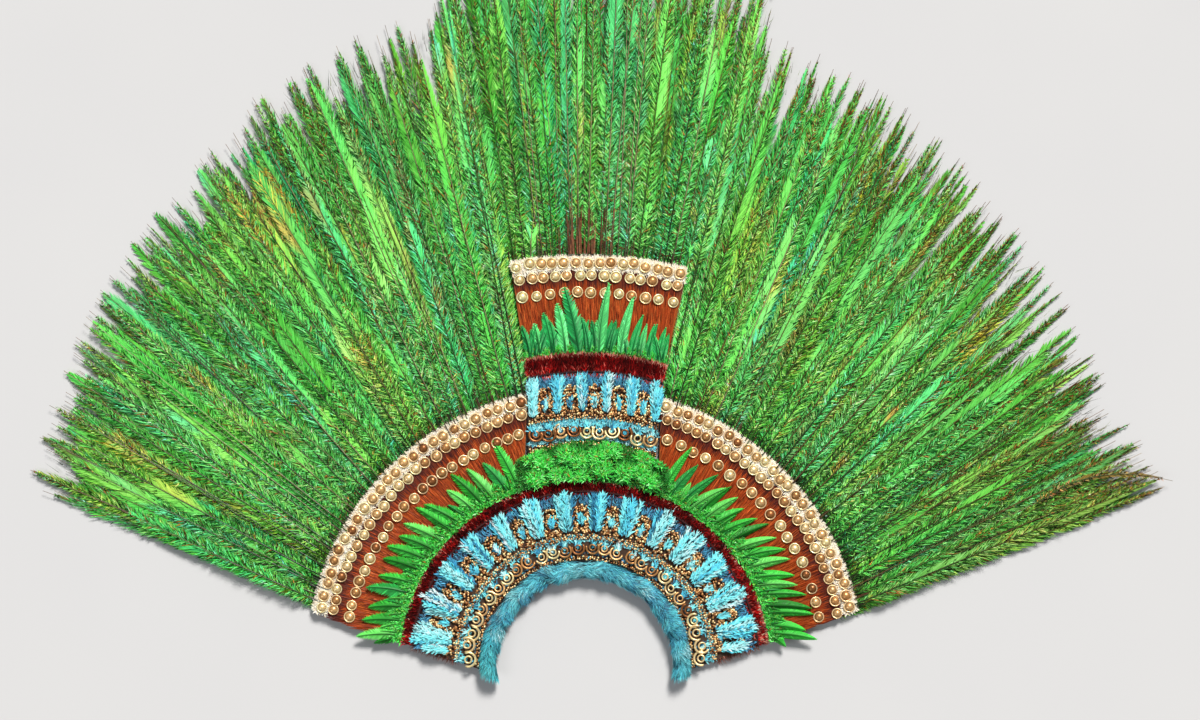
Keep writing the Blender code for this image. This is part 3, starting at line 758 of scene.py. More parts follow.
# %% The curls on top, and all the barbs together
def curls_of(chance, plume, barb, origins, curls):
    """Short loose ends that stand on the vane: some are painted light, the others painted dark as shade."""
    curly = (chance.random(barb.total) < curls * (0.14 + 0.86 * barb.loose)) & (barb.t > 0.01)
    number = int(curly.sum())
    reach = barb.out[curly] * chance.uniform(0.02, 0.78, number)
    ahead = points_at(np.cos(barb.heading[curly]), np.sin(barb.heading[curly]), barb.climb[curly])
    raised = points_at(0, 0, chance.uniform(0.0002, 0.0012, number))
    feet = origins[curly] + ahead * reach[:, None] + raised
    turn = np.interp(barb.t[curly], (0, 0.4, 0.85, 1), (58, 48, 34, 20))
    turn = turn * (0.3 + 0.7 * plume.tight[barb.owner][curly])
    turn = np.radians(turn + 9 * barb.lock_noise[0][curly] + chance.normal(0, 12, number))
    length = chance.uniform(0.0046, 0.0100, number) * (0.4 + 0.6 * barb.edge[curly])
    in_shade = chance.random(number) < 0.45
    climb, roll = chance.normal(0.03, 0.05, number), chance.normal(0, 0.3, number)
    width = chance.uniform(0.0010, 0.0017, number) * np.where(in_shade, 1.35, 1) * barb.side[curly]
    axes = lay(barb.bearing[curly] + barb.side[curly] * turn, climb, roll, length, width, 0.001)
    noise = chance.normal(0.0, 0.30, number) + 0.18 * barb.lock_noise[1][curly]
    # Painted light and shade: curls in shade are painted nearly black, the others lighter.
    light = (np.where(in_shade, 0.13, 1.36) * np.exp(noise))[:, None]
    tones = barb.tip[curly] * np.where(light < 1, light ** PALER, light)
    return copies(hair, feet, axes, tones * 0.66, tones * 1.22)


def barbs_of(quills, chance, spacing, half_width, light, hooked, satin_share, curls, loose_model,
             only_tone=None):
    """All the barbs of a layer, as sets of stamped copies: hooked ones, loose ones and curls."""
    plume = plume_characters(quills, chance, half_width, light, satin_share)
    barb = barbs_along(quills, chance, plume, spacing, hooked)
    lay_barbs(quills, chance, plume, barb, spacing)
    colour_barbs(quills, chance, plume, barb, only_tone)
    origins = ray(barb.distance, barb.angle, barb.height)
    flat = barb.together > chance.random(barb.total)
    fine = spacing * chance.uniform(0.60, 0.95, barb.total) * np.where(barb.parting, 1.20, 1)
    broad = np.full(barb.total, spacing * 1.45)
    parts = []
    for model, used, wide, deep in ((blade, flat, broad, 0.0012), (loose_model, ~flat, fine, 0.001)):
        axes = lay(barb.heading[used], barb.climb[used], barb.roll[used], barb.out[used],
                   wide[used] * barb.side[used], deep)
        parts.append(copies(model, origins[used], axes, barb.root[used], barb.tip[used]))
    return parts + [curls_of(chance, plume, barb, origins, curls)]


# %% The quills of a layer
PALE_QUILL = 3
QUILL_TONES = shades((26, 42, 14), (96, 62, 40), (60, 104, 36), (182, 158, 124))


def shafts_of(quills, chance, light, lengths=9, thick=0.0024):
    """The quills themselves, as short lengths that follow one another and thin towards the tip."""
    count = quills.count
    extra = chance.uniform(0.005, 0.05, count) / quills.length
    reach = np.minimum(1 + extra, 1 / quills.share)
    owner = np.repeat(np.arange(count), lengths)
    step = np.tile(np.arange(lengths), count)
    ends = [(step + k) / lengths * reach[owner] for k in (0, 1)]
    lift = np.where(chance.random(count) < 0.45, 0.0030, 0.0005)[owner]
    near, far = [points_at(*ray(d, a, z + lift).T) for d, a, z in (quills.along(owner, t) for t in ends)]
    run = far - near
    along = np.linalg.norm(run, axis=1)
    heading, climb = np.arctan2(run[:, 1], run[:, 0]), np.arcsin(run[:, 2] / along)
    width = thick * QUILL_THINS ** step
    pale = np.interp(quills.left, (0.3, 0.42, 0.6, 0.75), (0.05, 0.34, 0.34, 0.12))
    pick = chance.random(count)
    kind = np.where(pick < pale, PALE_QUILL, np.where(pick < 0.64, 0, np.where(pick < 0.78, 1, 2)))
    is_pale = (kind == PALE_QUILL)[owner]
    tone = QUILL_TONES[kind][owner] * light
    tone = tone * np.where(is_pale, np.interp(step / lengths, (0, 0.35), (0.30, 1)), 1)[:, None]
    brown = ((step / lengths) ** 2 * np.where(is_pale, 0, 0.8))[:, None]
    tone = tone * (1 - brown) + TIP_BROWN * light * brown
    return copies(quill_length, near, lay(heading, climb, 0, along, width, width * 0.8), tone)


# %% [markdown]
# ### Laying the fans
#
# The fan is laid as five pieces side by side, since one mesh of it all would be too heavy to handle.
# Their plumes cross at the joins, so no gap shows. Each layer stands higher than the one below it and is
# painted lighter, so the lower layers carry painted shade, and most plumes of the upper ones end inside the
# fan. The vanes are matt and finely streaked; the quills are smooth.
# %% The fans, their layers and their finishes
FANS = {"right_outer": (21.5, 48.4), "right_inner": (47.9, 75.4), "crown": (74.8, 101.0),
        "left_inner": (100.4, 129.2), "left_outer": (128.7, 157.3)}
# A layer's light is painted light: lower layers are painted darker, as shade under the upper ones, and so are
# their quills.
LAYERS = {
    "under": dict(per_degree=1.30, shares=(0.80, 0.93), level=(0.05, 0.35), vanes=dict(
        spacing=0.0028, half_width=(0.013, 0.018), light=0.84, hooked=1.3, satin_share=0.1,
        curls=0.2, loose_model=hair)),
    "tips": dict(per_degree=1.45, shares=(0.90, 0.985), level=(0.10, 0.60), from_share=0.62, vanes=dict(
        spacing=0.0020, half_width=(0.010, 0.015), light=1.36, hooked=1.0, satin_share=0.30,
        curls=0.30, loose_model=hair)),
    "middle": dict(per_degree=1.50, shares=(0.74, 0.98), level=(0.30, 0.75), vanes=dict(
        spacing=0.0015, half_width=(0.010, 0.0155), light=1.44, hooked=1.22, satin_share=0.24,
        curls=0.55, loose_model=curl)),
    "upper": dict(per_degree=1.30, shares=(0.58, 0.97), level=(0.70, 1.05), vanes=dict(
        spacing=0.0014, half_width=(0.010, 0.0160), light=1.58, hooked=1.15, satin_share=0.36,
        curls=0.75, loose_model=curl)),
}
STREAKS_A_METRE = 900.0
plume_finish = Finish("plume_vanes", "plume_green", Specular_IOR_Level=0.12)
streaks = plume_finish.ramp(plume_finish.noise(STREAKS_A_METRE), 0.3, 0.7)
plume_finish.feed("Base Color", plume_finish.mix(1.0, plume_finish.tint(), plume_finish.mix(
    streaks, (0.74, 0.78, 0.70, 1), (1.12, 1.10, 1.05, 1)), "MULTIPLY"))
plume_finish.feed("Roughness", plume_finish.noise(160.0) * 0.3 + 0.3)
shaft_finish = Finish("quill_shafts", "plume_green", Roughness=0.35)
shaft_finish.feed("Base Color", shaft_finish.mix(
    shaft_finish.noise(240.0), shaft_finish.tint(), (0.02, 0.02, 0.01, 1)))
print("layers of plumes:", ", ".join(LAYERS))


# %% Lay the layers of each fan
def bundles_between(first, last):
    """The CAD plume bundles whose middles point between two angles."""
    found = []
    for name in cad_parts:
        if name.startswith("plume_bundle"):
            low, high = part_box(name)
            x, y = [(low[i] + high[i]) / 2 - FOCUS[i] for i in (0, 1)]
            if first < np.degrees(np.arctan2(y, x)) <= last:
                found.append(name)
    return found


def lay_fan(fan, first, last):
    """All the layers of one fan. The outermost on the right also has one odd curled plume."""
    vanes, shafts = [], []
    for layer, facts in LAYERS.items():
        chance = chances(f"{fan} {layer}")
        quills = Quills(chance, np.radians((first, last)), int((last - first) * facts["per_degree"]),
                        facts["shares"], facts["level"])
        if "from_share" in facts:
            quills.keep_from(facts["from_share"])
        vanes += barbs_of(quills, chance, **facts["vanes"])
        shafts.append(shafts_of(quills, chance, facts["vanes"]["light"]))
    if fan == "right_outer":
        chance = chances("curled plume")
        curled = Quills(chance, np.radians((25.3, 25.5)), 1, (0.9, 0.9), (1.5, 1.5))
        curled.start[:], curled.length[:], curled.lean[:], curled.bend[:] = 0.766, 0.191, 0.238, -0.0933
        vanes += barbs_of(curled, chance, spacing=0.0011, half_width=(0.0056, 0.0056), light=1.15, hooked=0.4,
                          satin_share=0, curls=0.5, loose_model=curl, only_tone=shade(176, 130, 58))
        shafts.append(shafts_of(curled, chance, 1.0))
    settle(join(f"plumes_{fan}", vanes), plume_finish, bundles_between(first, last))
    settle(join(f"quills_{fan}", shafts), shaft_finish)


for fan, (first, last) in FANS.items():
    lay_fan(fan, first, last)

# %% [markdown]
# ### Loose barbs and bare quills
#
# Two things lie on top of the fan. Single dark barbs have come loose and point anyhow along the
# plumes, which gives the green its fine dark lines. And just above the block a row of bare
# red-brown quills shows, where short plumes have lost their vanes. Both are copies of the hair
# and the quill that are there already.
# %% Loose barbs and bare quills
STRAY_TONES = shades((34, 48, 16), (74, 50, 26), (24, 60, 22), (150, 170, 90))
BARE_TONES = shades((164, 88, 60), (190, 124, 88), (120, 64, 42))


def strays(chance, count):
    angle = np.radians(chance.uniform(22.5, 156.0, count))
    start = from_focus(np.where(within(angle, 75, 101), TOWER_TOP, RIM_OUTER), angle) + 0.020
    distance = start + (reach_at(angle) * 0.95 - start) * chance.random(count)
    bed = np.interp(distance / reach_at(angle), (0.45, 1.0), (0.0205, 0.0085))
    heading = angle + chance.normal(0, radians(13), count)
    axes = lay(heading, chance.normal(-0.02, 0.03, count), 0, chance.uniform(0.010, 0.030, count),
               chance.uniform(0.0006, 0.0010, count), 0.002)
    tones = STRAY_TONES[chance.choice(4, count, p=[0.36, 0.14, 0.26, 0.24])]
    return copies(hair, ray(distance, angle, bed), axes, tones, tones * 1.2)


def bare_quills(chance, count):
    angle = np.radians(np.clip(chance.normal(89.2, 2.4, count), 82, 97))
    feet = ray(from_focus(TOWER_TOP - 0.002, angle), angle, 0.0150)
    length = chance.uniform(0.018, 0.075, count)
    length = length * np.interp(np.degrees(angle), (82, 87, 92, 97), (0.5, 1, 1, 0.5))
    width = chance.uniform(0.0009, 0.0016, count)
    tones = BARE_TONES[chance.integers(0, len(BARE_TONES), count)]
    tones = tones * np.exp(chance.normal(0, 0.2, count))[:, None]
    axes = lay(angle + chance.normal(0, 0.04, count), 0.06, 0, length, width, width)
    return copies(quill_length, feet, axes, tones)


loose_pieces = [strays(chances("strays"), 5200), bare_quills(chances("bare quills"), 64)]
settle(join("loose_barbs_and_bare_quills", loose_pieces), shaft_finish)

# %% [markdown]
# ## Grounds that the feathers are tied to
#
# Under the feathers each ring of the band is a closed body of its own: a strip of backing with the
# layer's section. A cylinder with as many sides as the section has corners is the right start. Its
# long edges are cut into even lengths, and every point is then put where its ring or course says,
# so that the strip ends on the band's slanting cut.
# %% A strip with a section
def strip(name, section, place, lengths):
    """A closed strip. place gives a point for a corner of the section and a share of the length."""
    bpy.ops.mesh.primitive_cylinder_add(vertices=len(section), radius=1, depth=1, end_fill_type="NGON",
                                        location=(0, 0, 0.5))
    body = bpy.context.object
    apply_place(body)
    for item in (*body.data.vertices, *body.data.polygons):
        item.select = False
    for edge in body.data.edges:
        low, high = (body.data.vertices[i].co.z for i in edge.vertices)
        edge.select = abs(low - high) > 0.5
    bpy.context.tool_settings.mesh_select_mode = (False, True, False)
    bpy.ops.object.mode_set(mode="EDIT")
    bpy.ops.mesh.subdivide(number_cuts=lengths - 1)
    done()
    bpy.context.tool_settings.mesh_select_mode = (True, False, False)
    for vertex in body.data.vertices:
        turn = np.arctan2(vertex.co.x, vertex.co.y) / (2 * pi) * len(section)
        corner = section[int(round(turn)) % len(section)]
        vertex.co = place(*corner, min(max(vertex.co.z, 0), 1))
    edit(body)
    bpy.ops.mesh.normals_make_consistent(inside=False)
    done()
    body.name = body.data.name = name
    bpy.ops.object.shade_smooth_by_angle(angle=radians(40))
    return body


# %% Where the corners of a strip go, and how many lengths it has
BAND_LENGTHS, WING_LENGTHS, BLOCK_LENGTHS = 64, 48, 16


def on_band(radius, height, share):
    return ring(radius, band_angle(radius, share), height)


def on_wing(side):
    return lambda radius, height, share: ring(radius, wing_angle(radius, share, side), height)


def on_course(level, height, share):
    return on_tower(2 * share - 1, level, height)


def between_wings(radius, height, share):
    right, left = block_side(radius, "right"), block_side(radius, "left")
    return ring(radius, right + (left - right) * share, height)


# %% [markdown]
# ### Finishes for feathers and grounds
#
# A feather is streaked along its barbs, and its gloss changes from spot to spot. So the tint that
# each copy carries is multiplied by fine noise between a dark and a light tone. Drawing every
# streak by hand would be slow and would repeat; noise never does. The grounds are plain woven
# cloth with stains, and only little of them shows.
# %% Finishes for feathers and grounds
def feather_finish(name, slot, roughness, dark, light, **constants):
    """The tint of each copy, streaked with fine noise."""
    finish = Finish(name, slot, **constants)
    streak = finish.ramp(finish.noise(STREAKS_A_METRE), 0.3, 0.7)
    finish.feed("Base Color", finish.mix(1.0, finish.tint(), finish.mix(streak, dark, light), "MULTIPLY"))
    finish.feed("Roughness", finish.noise(STREAKS_A_METRE / 5) * 0.25 + (roughness - 0.12))
    return finish


def cloth_finish(name, slot, dark, light):
    """A plain woven backing with stains."""
    finish = Finish(name, slot, Roughness=0.9)
    weave = finish.node("ShaderNodeTexWave", {}, {
        "Vector": finish.place(), "Scale": 160.0, "Distortion": 1.5, "Detail": 2.0}, output="Fac")
    finish.feed("Base Color", finish.mix(finish.noise(60.0, 3.0), dark, light))
    finish.bump(weave, 0.5, 0.0008)
    return finish


down_finish = feather_finish("turquoise_feathers", "turquoise_down", 0.6, (0.66, 0.74, 0.78, 1),
                             (1.12, 1.1, 1.1, 1), Specular_IOR_Level=0.25)
pile_finish = feather_finish("crimson_feathers", "crimson_pile", 0.7, (0.60, 0.55, 0.55, 1),
                             (1.15, 1.1, 1.1, 1), Specular_IOR_Level=0.12)
cream_finish = feather_finish("cream_down", "down_cream", 0.8, (0.94, 0.92, 0.89, 1),
                              (1.04, 1.04, 1.04, 1), Sheen_Weight=0.2)
leaf_finish = feather_finish("leaf_feathers", "leaf_green", 0.46, (0.66, 0.78, 0.66, 1),
                             (1.14, 1.12, 1.1, 1), Specular_IOR_Level=0.22)
brown_cloth = cloth_finish("brown_backing", "turquoise_down", (0.030, 0.014, 0.008, 1),
                           (0.085, 0.045, 0.025, 1))
blue_core = cloth_finish("blue_backing", "turquoise_down", (0.015, 0.10, 0.13, 1), (0.05, 0.22, 0.28, 1))
green_core = cloth_finish("green_backing", "leaf_green", (0.006, 0.05, 0.010, 1), (0.02, 0.14, 0.03, 1))
cream_core = cloth_finish("cream_backing", "down_cream", (0.62, 0.52, 0.40, 1), (0.84, 0.77, 0.66, 1))
crimson_core = cloth_finish("crimson_backing", "crimson_pile", (0.020, 0.002, 0.002, 1),
                            (0.060, 0.006, 0.006, 1))
print("finishes:", ", ".join(material.name for material in bpy.data.materials))


# %% Directions on the band, and laying copies on a surface
def unit(vectors):
    return vectors / np.linalg.norm(vectors, axis=-1, keepdims=True)


def lay_on(along, facing, length, width, depth):
    """Axes for copies that point along a direction with their face to another."""
    along = unit(along)
    aside = unit(np.cross(facing, along))
    above = np.cross(along, aside)
    length, width, depth, _ = np.broadcast_arrays(length, width, depth, along[:, 0])
    return np.stack([along * length[:, None], aside * width[:, None], above * depth[:, None]], axis=1)


def outward(angle):
    return points_at(np.cos(angle), np.sin(angle), 0.0)


def around(angle):
    return points_at(-np.sin(angle), np.cos(angle), 0.0)


UP = np.array([0.0, 0.0, 1.0])


def picked(chance, count, colours, shares, spread):
    """Colours drawn from a short list, each a little lighter or darker."""
    shares = np.array(shares) / sum(shares)
    chosen = colours[chance.choice(len(colours), count, p=shares)]
    return chosen * np.exp(chance.normal(0, spread, count))[:, None]


def from_head(points):
    return np.arctan2(points[..., 1] - HEAD[1], points[..., 0] - HEAD[0])


def up_tower(points):
    """Heading of a feather on the block, which spreads a little like the fan behind it."""
    return pi / 2 + TOWER_LEAN - (points[..., 0] - HEAD[0] - 0.02) * 1.3


# %% [markdown]
# ## The roll of down round the head opening
#
# Short turquoise feathers are bound along a cord in overlapping locks, so the roll looks like fur that has
# been brushed along the arch. Its ground is a plain round strip. Each lock leans its own way and has its own
# tone, and every hair in it starts on the roll's surface and lies nearly flat on it. The roots are painted
# darker and the tips lighter, as shade and light, and a few hairs are painted dark, as shade in the gaps
# between locks.
# %% Fur roll
FUR_MIDDLE, FUR_HALF, FUR_LEVEL, FUR_RISE = 0.1475, 0.0122, 0.0118, 0.0112
FUR_CORE = 0.94       # how thick the ground is beside the roll
TURQUOISES = shades((70, 170, 204), (92, 206, 236), (120, 226, 246), (52, 122, 146), (124, 190, 204))
SEA_GREEN = shade(50, 166, 164)


def make_fur(locks=64, hairs=330):
    chance = chances("fur roll")
    section = [(FUR_MIDDLE + FUR_CORE * FUR_HALF * cos(a), FUR_LEVEL + FUR_CORE * FUR_RISE * sin(a))
               for a in np.linspace(0, 2 * pi, 12, endpoint=False)]
    settle(strip("fur_roll_core", section, on_band, 60), blue_core, ["fur_rim"])
    lock = np.repeat(np.arange(locks), hairs)
    total = len(lock)
    share = (np.arange(locks) + chance.uniform(0.2, 0.8, locks)) / locks
    round_it = chance.uniform(-0.75, 0.75, locks)
    downhill = np.where(share < 0.5, -1.0, 1.0)
    slant = chance.normal(0.25, 0.35, locks)
    at = np.clip(share[lock] + chance.normal(0, 0.62 / locks, total), 0.002, 0.998)
    turn = np.clip(round_it[lock] + chance.normal(0, 0.55, total), -2.0, 2.0)
    radius = FUR_MIDDLE + FUR_HALF * np.sin(turn)
    angle = band_angle(radius, at)
    normal = outward(angle) * np.sin(turn)[:, None] + UP * np.cos(turn)[:, None]
    across = outward(angle) * np.cos(turn)[:, None] - UP * np.sin(turn)[:, None]
    origins = ring(radius, angle, FUR_LEVEL + FUR_RISE * np.cos(turn))
    lean = slant[lock] * np.sign(round_it[lock]) + chance.normal(0, 0.22, total)
    along = around(angle) * (downhill[lock] * np.cos(lean))[:, None] + across * np.sin(lean)[:, None]
    along += normal * (0.16 + 0.08 * chance.normal(0, 1, total))[:, None]
    tones = picked(chance, locks, TURQUOISES, [4, 4, 2, 2, 1], 0.30)
    at_ends = (np.clip((share - 0.80) * 6, 0, 1) + np.clip((0.12 - share) * 4, 0, 0.6))[:, None] * 0.7
    tones = tones * (1 - at_ends) + SEA_GREEN * at_ends
    # Painted shade and light: roots darker, tips lighter, and some hairs near black, as gaps between locks.
    root = tones[lock] * np.exp(chance.normal(0, 0.38, total))[:, None]
    gap_shade = np.where(chance.random(total) < 0.30, 0.14, 1.12)[:, None]
    length, width = chance.uniform(0.008, 0.018, total), chance.uniform(0.0009, 0.0017, total)
    axes = lay_on(along, normal, length, width, 0.001)
    fur = join("fur_roll", [copies(hair, origins, axes, root * 0.50 * gap_shade, (root * 1.75 + 0.03) * gap_shade)])
    settle(fur, down_finish)


make_fur()

# %% [markdown]
# ## Gold: beads, discs and crescents
#
# All the gold is thin stamped sheet or small cast beads. A disc has a flat rim and a dome, so it
# starts as a circle and is extruded and inset from the outside in. A crescent is a ring with its
# outer part cut away and a smaller ring inside. A bead is a low sphere pressed flat. Old gold is
# uneven, so each copy is turned and tipped a little and has its own tone.
# %% Model a disc
def make_disc():
    bpy.ops.mesh.primitive_circle_add(vertices=13, radius=0.5, fill_type="NGON")
    disc = bpy.context.object
    edit(disc)
    bpy.ops.mesh.extrude_region_move(TRANSFORM_OT_translate={"value": (0, 0, 0.09)})
    for thickness, depth in ((0.030, 0.035), (0.065, -0.02), (0.020, -0.04), (0.020, 0.0), (0.050, 0.10),
                             (0.095, 0.09), (0.12, 0.045)):
        bpy.ops.mesh.inset(thickness=thickness, depth=depth)
    bpy.ops.mesh.merge(type="COLLAPSE")
    done()
    return read_model(disc)


disc = make_disc()


# %% Model a crescent
def make_crescent():
    bpy.ops.mesh.primitive_torus_add(major_radius=0.42, minor_radius=0.072, major_segments=22,
                                     minor_segments=6)
    horns = bpy.context.object
    edit(horns, lambda co: co.x > 0.21)
    bpy.ops.mesh.delete(type="VERT")
    done()
    for side in (-1, 1):
        edit(horns, lambda co: co.x > 0.10 and co.y * side > 0)
        bpy.ops.mesh.edge_face_add()
        bpy.ops.transform.resize(value=(0.6, 0.6, 0.5), center_override=(0.19, 0.37 * side, 0))
        done()
    bpy.ops.mesh.primitive_torus_add(major_radius=0.20, minor_radius=0.055, major_segments=14,
                                     minor_segments=5)
    inner = bpy.context.object
    only(horns)
    inner.select_set(True)
    bpy.ops.object.join()
    move_points(horns, None, (0, 0, 0.09))
    return read_model(horns)


crescent = make_crescent()


# %% Model a bead
def make_bead():
    bpy.ops.mesh.primitive_uv_sphere_add(segments=6, ring_count=4, radius=0.5)
    bead = bpy.context.object
    edit(bead)
    bpy.ops.transform.resize(value=(1, 1, 0.8), center_override=(0, 0, 0))
    bpy.ops.transform.translate(value=(0, 0, 0.38))
    done()
    return read_model(bead)


bead = make_bead()

# %% Worn gold
GOLDS = shades((244, 218, 166), (222, 182, 128), (190, 142, 90), (150, 98, 56), (104, 60, 32))
gold_finish = Finish("worn_gold", "gold", Metallic=0.56)
tarnish = gold_finish.ramp(gold_finish.noise(420.0, 3.0), 0.35, 0.75)
gold_finish.feed("Base Color", gold_finish.mix(1.0, gold_finish.tint(), gold_finish.mix(
    tarnish, (1.15, 1.12, 1.08, 1), (0.68, 0.55, 0.42, 1)), "MULTIPLY"))
gold_finish.feed("Roughness", tarnish * 0.22 + 0.27)


def turned(chance, count, size, tip, facing=None):
    """Axes for flat gold that is turned anyhow, or to a heading, and tipped a little."""
    heading = chance.uniform(0, 2 * pi, count) if facing is None else facing
    size = np.broadcast_to(size, count) * np.exp(chance.normal(0, 0.04, count))
    return lay(heading, chance.normal(0, tip, count), chance.normal(0, tip, count), size, size, size)


def beads_at(chance, origins, size, shares):
    count = len(origins)
    tones = picked(chance, count, GOLDS, shares, 0.24) * 1.06
    return copies(bead, origins, turned(chance, count, size * chance.uniform(0.8, 1.15, count), 0.25), tones)


# %% [markdown]
# ### Rows of discs
#
# Three rows of discs are sewn along each wing and across the block, the outer two nearly touching.
# The rim is rubbed to a paler gold of its own. Over that, the groove between rim and dome is painted dark, as
# shade, and the middle of the dome and the rim are painted light, as highlights. That painted light and shade
# is the same on every disc, so it goes into each copy's tint, by how far a point is from the middle.
# %% Rows of discs
DISC_SIZE = 0.0176
DISC_FAR = np.hypot(disc[0][:, 0], disc[0][:, 1])
# Painted shade in the groove, and painted highlights on the middle of the dome and on the rim.
DISC_SHADE_AND_HIGHLIGHT = np.interp(DISC_FAR, (0.10, 0.22, 0.32, 0.36, 0.385, 0.40, 0.5),
                      (1.12, 1.05, 0.85, 0.30, 0.35, 1.15, 1.30))
RIM_FROM, RIM_GOLD = 0.395, shade(246, 226, 184)
WING_DISCS = {"left": ((0.4150, 0.0133, 26), (0.3965, 0.0119, 25), (0.3680, 0.0119, 22)),
              "right": ((0.4150, 0.0133, 26), (0.3965, 0.0119, 25), (0.3680, 0.0119, 18))}
TOWER_DISCS = ((0.6195, 0.0133, 15), (0.5985, 0.0119, 14), (0.5725, 0.0119, 12))


def discs_at(chance, origins, shares=(3, 4, 3, 1), light=1.0):
    count = len(origins)
    origins = origins + points_at(*chance.normal(0, 0.0011, (2, count)), 0)
    tones = picked(chance, count, GOLDS[:4], shares, 0.08) * light
    spots, faces, charts, tints = copies(disc, origins, turned(chance, count, DISC_SIZE, 0.07), tones)
    rims = RIM_GOLD * 0.55 + tones * 0.45
    on_rim = (DISC_FAR > RIM_FROM)[None, :, None]
    tints = np.where(on_rim, np.broadcast_to(rims[:, None, :], tints.shape), tints)
    return spots, faces, charts, tints * DISC_SHADE_AND_HIGHLIGHT[None, :, None]


def middles(count):
    return (np.arange(count) + 0.5) / count


for side in ("left", "right"):
    chance = chances(f"discs {side}")
    rows = [discs_at(chance, ring(radius, wing_angle(radius, middles(count), side), height))
            for radius, height, count in WING_DISCS[side]]
    settle(join(f"gold_discs_{side}", rows), gold_finish, [f"disc_row_{side}_{n}" for n in (1, 2, 3)])
chance = chances("discs tower")
rows = [discs_at(chance, on_tower(middles(count) * 2 - 1, level, height), (9, 4, 0.6, 0), 1.15)
        for level, height, count in TOWER_DISCS]
settle(join("gold_discs_tower", rows), gold_finish, [f"disc_row_tower_{n}" for n in (1, 2, 3)])

# %% [markdown]
# ## Red-brown field
#
# The field is a mosaic of narrow red-brown feathers laid side by side, all pointing outwards. It is
# a thin sheet with streaks that follow the feathers, and over it a few thousand long flat blades
# whose edges catch the light. The streaks need to know how far round and how far out a point is, so
# the finish works that out from its place.
# %% Finish of the field
FIELD_LOW, FIELD_TOP = 0.0083, 0.0113


def field_finish(name, round_scale, shadow_from, shadow_to):
    """Streaks that run outwards from the head, darker below the outer discs."""
    finish = Finish(name, "field_red_brown", Specular_IOR_Level=0.1)
    centred = finish.node("ShaderNodeVectorMath", {"operation": "SUBTRACT"}, {
        0: finish.place(), 1: (HEAD[0], HEAD[1], 0)}, output="Vector")
    x = finish.node("ShaderNodeSeparateXYZ", {}, {0: centred}, output="X")
    y = finish.node("ShaderNodeSeparateXYZ", {}, {0: centred}, output="Y")
    out = (x * x + y * y) ** 0.5
    angle = y.maths("ARCTAN2", y, x)
    grain = finish.node("ShaderNodeCombineXYZ", {}, {0: angle * round_scale, 1: out * 9.0})
    streaks = finish.noise(1.0, 3.0, grain, 0.65)
    patches = finish.noise(0.16, 2.0, grain)
    colour = finish.mix(finish.ramp(streaks, 0.32, 0.70), (0.120, 0.026, 0.005, 1), (0.480, 0.120, 0.024, 1))
    colour = finish.mix(finish.ramp(patches, 0.45, 0.75) * 0.5, colour, (0.36, 0.105, 0.026, 1))
    colour = finish.mix(finish.ramp(out, shadow_from, shadow_to) * 0.75, colour, (0.060, 0.022, 0.020, 1))
    finish.feed("Base Color", colour)
    finish.feed("Roughness", streaks * 0.3 + 0.36)
    finish.bump(streaks, 0.6, 0.0012)
    return finish


wing_field = field_finish("red_field_of_wings", 190.0, 0.370, 0.386)
tower_field = field_finish("red_field_of_tower", 260.0, 0.573, 0.592)
streak_finish = feather_finish("red_field_feathers", "field_red_brown", 0.5, (0.66, 0.62, 0.56, 1),
                               (1.18, 1.1, 1.0, 1), Specular_IOR_Level=0.12)
REDS = shades((170, 70, 28), (142, 56, 20), (198, 96, 44), (100, 36, 12))
UNDER_DISCS = np.array([0.012, 0.004, 0.009])
print("finishes of the field:", wing_field.material.name, tower_field.material.name)


# %% The feathers of the field
def flat_section(inner, outer, top):
    """Corners of a thin ground between two distances from the head."""
    return [(inner, FIELD_LOW), (outer, FIELD_LOW), (outer, top), (inner, top)]


def field_feathers(chance, count, place, heading_of, dark_from):
    """Narrow feathers side by side, which lie in shadow from where the outer discs begin."""
    origins, level = place(chance.random(count), chance.random(count))
    tones = picked(chance, count, REDS, (4, 4, 2, 2), 0.16)
    shaded = np.clip((level - dark_from) / 0.006 + chance.normal(0, 0.25, count), 0, 1)[:, None]
    tones = tones * (1 - 0.74 * shaded) + UNDER_DISCS * shaded
    heading = heading_of(origins) + chance.normal(0, 0.035, count)
    axes = lay(heading, chance.normal(0.012, 0.008, count), chance.normal(0, 0.25, count),
               chance.uniform(0.012, 0.030, count), chance.uniform(0.0009, 0.0022, count), 0.0006)
    return copies(blade, origins, axes, tones * 0.8, tones * 1.15)


# %% Field of the wings
FIELD_INNER, FIELD_OUTER = 0.2838, 0.4050
for side in ("left", "right"):
    section = flat_section(FIELD_INNER, FIELD_OUTER, FIELD_TOP)
    field = strip(f"field_{side}", section, on_wing(side), WING_LENGTHS)
    settle(field, wing_field, [f"red_field_{side}"])
    spread = abs(wing_angle(0.345, 1, side) - wing_angle(0.345, 0, side))
    width, length = FIELD_OUTER - FIELD_INNER, spread * FIELD_OUTER
    spread * (FIELD_OUTER ** 2 - FIELD_INNER ** 2) / 2
    print(f"field of the {side} wing, flat:", round(width, 3), "x", round(length, 3), "m")

    def wing_place(out, share, side=side):
        radius = 0.306 + 0.084 * out
        return ring(radius, wing_angle(radius, share, side), FIELD_TOP + 0.0001), radius

    chance = chances(f"field {side}")
    feathers = join(f"field_feathers_{side}", [field_feathers(chance, 6500, wing_place, from_head, 0.364)])
    settle(feathers, streak_finish)


# %% Field of the block
def tower_place(out, share):
    level = 0.488 + 0.105 * out
    return on_tower(share * 1.96 - 0.98, level, FIELD_TOP + 0.0001), level


field = strip("field_tower", flat_section(0.4783, 0.6080, FIELD_TOP), on_course, BLOCK_LENGTHS)
settle(field, tower_field, ["red_field_tower"])
chance = chances("field tower")
feathers = join("field_feathers_tower", [field_feathers(chance, 4200, tower_place, up_tower, 0.569)])
settle(feathers, streak_finish)

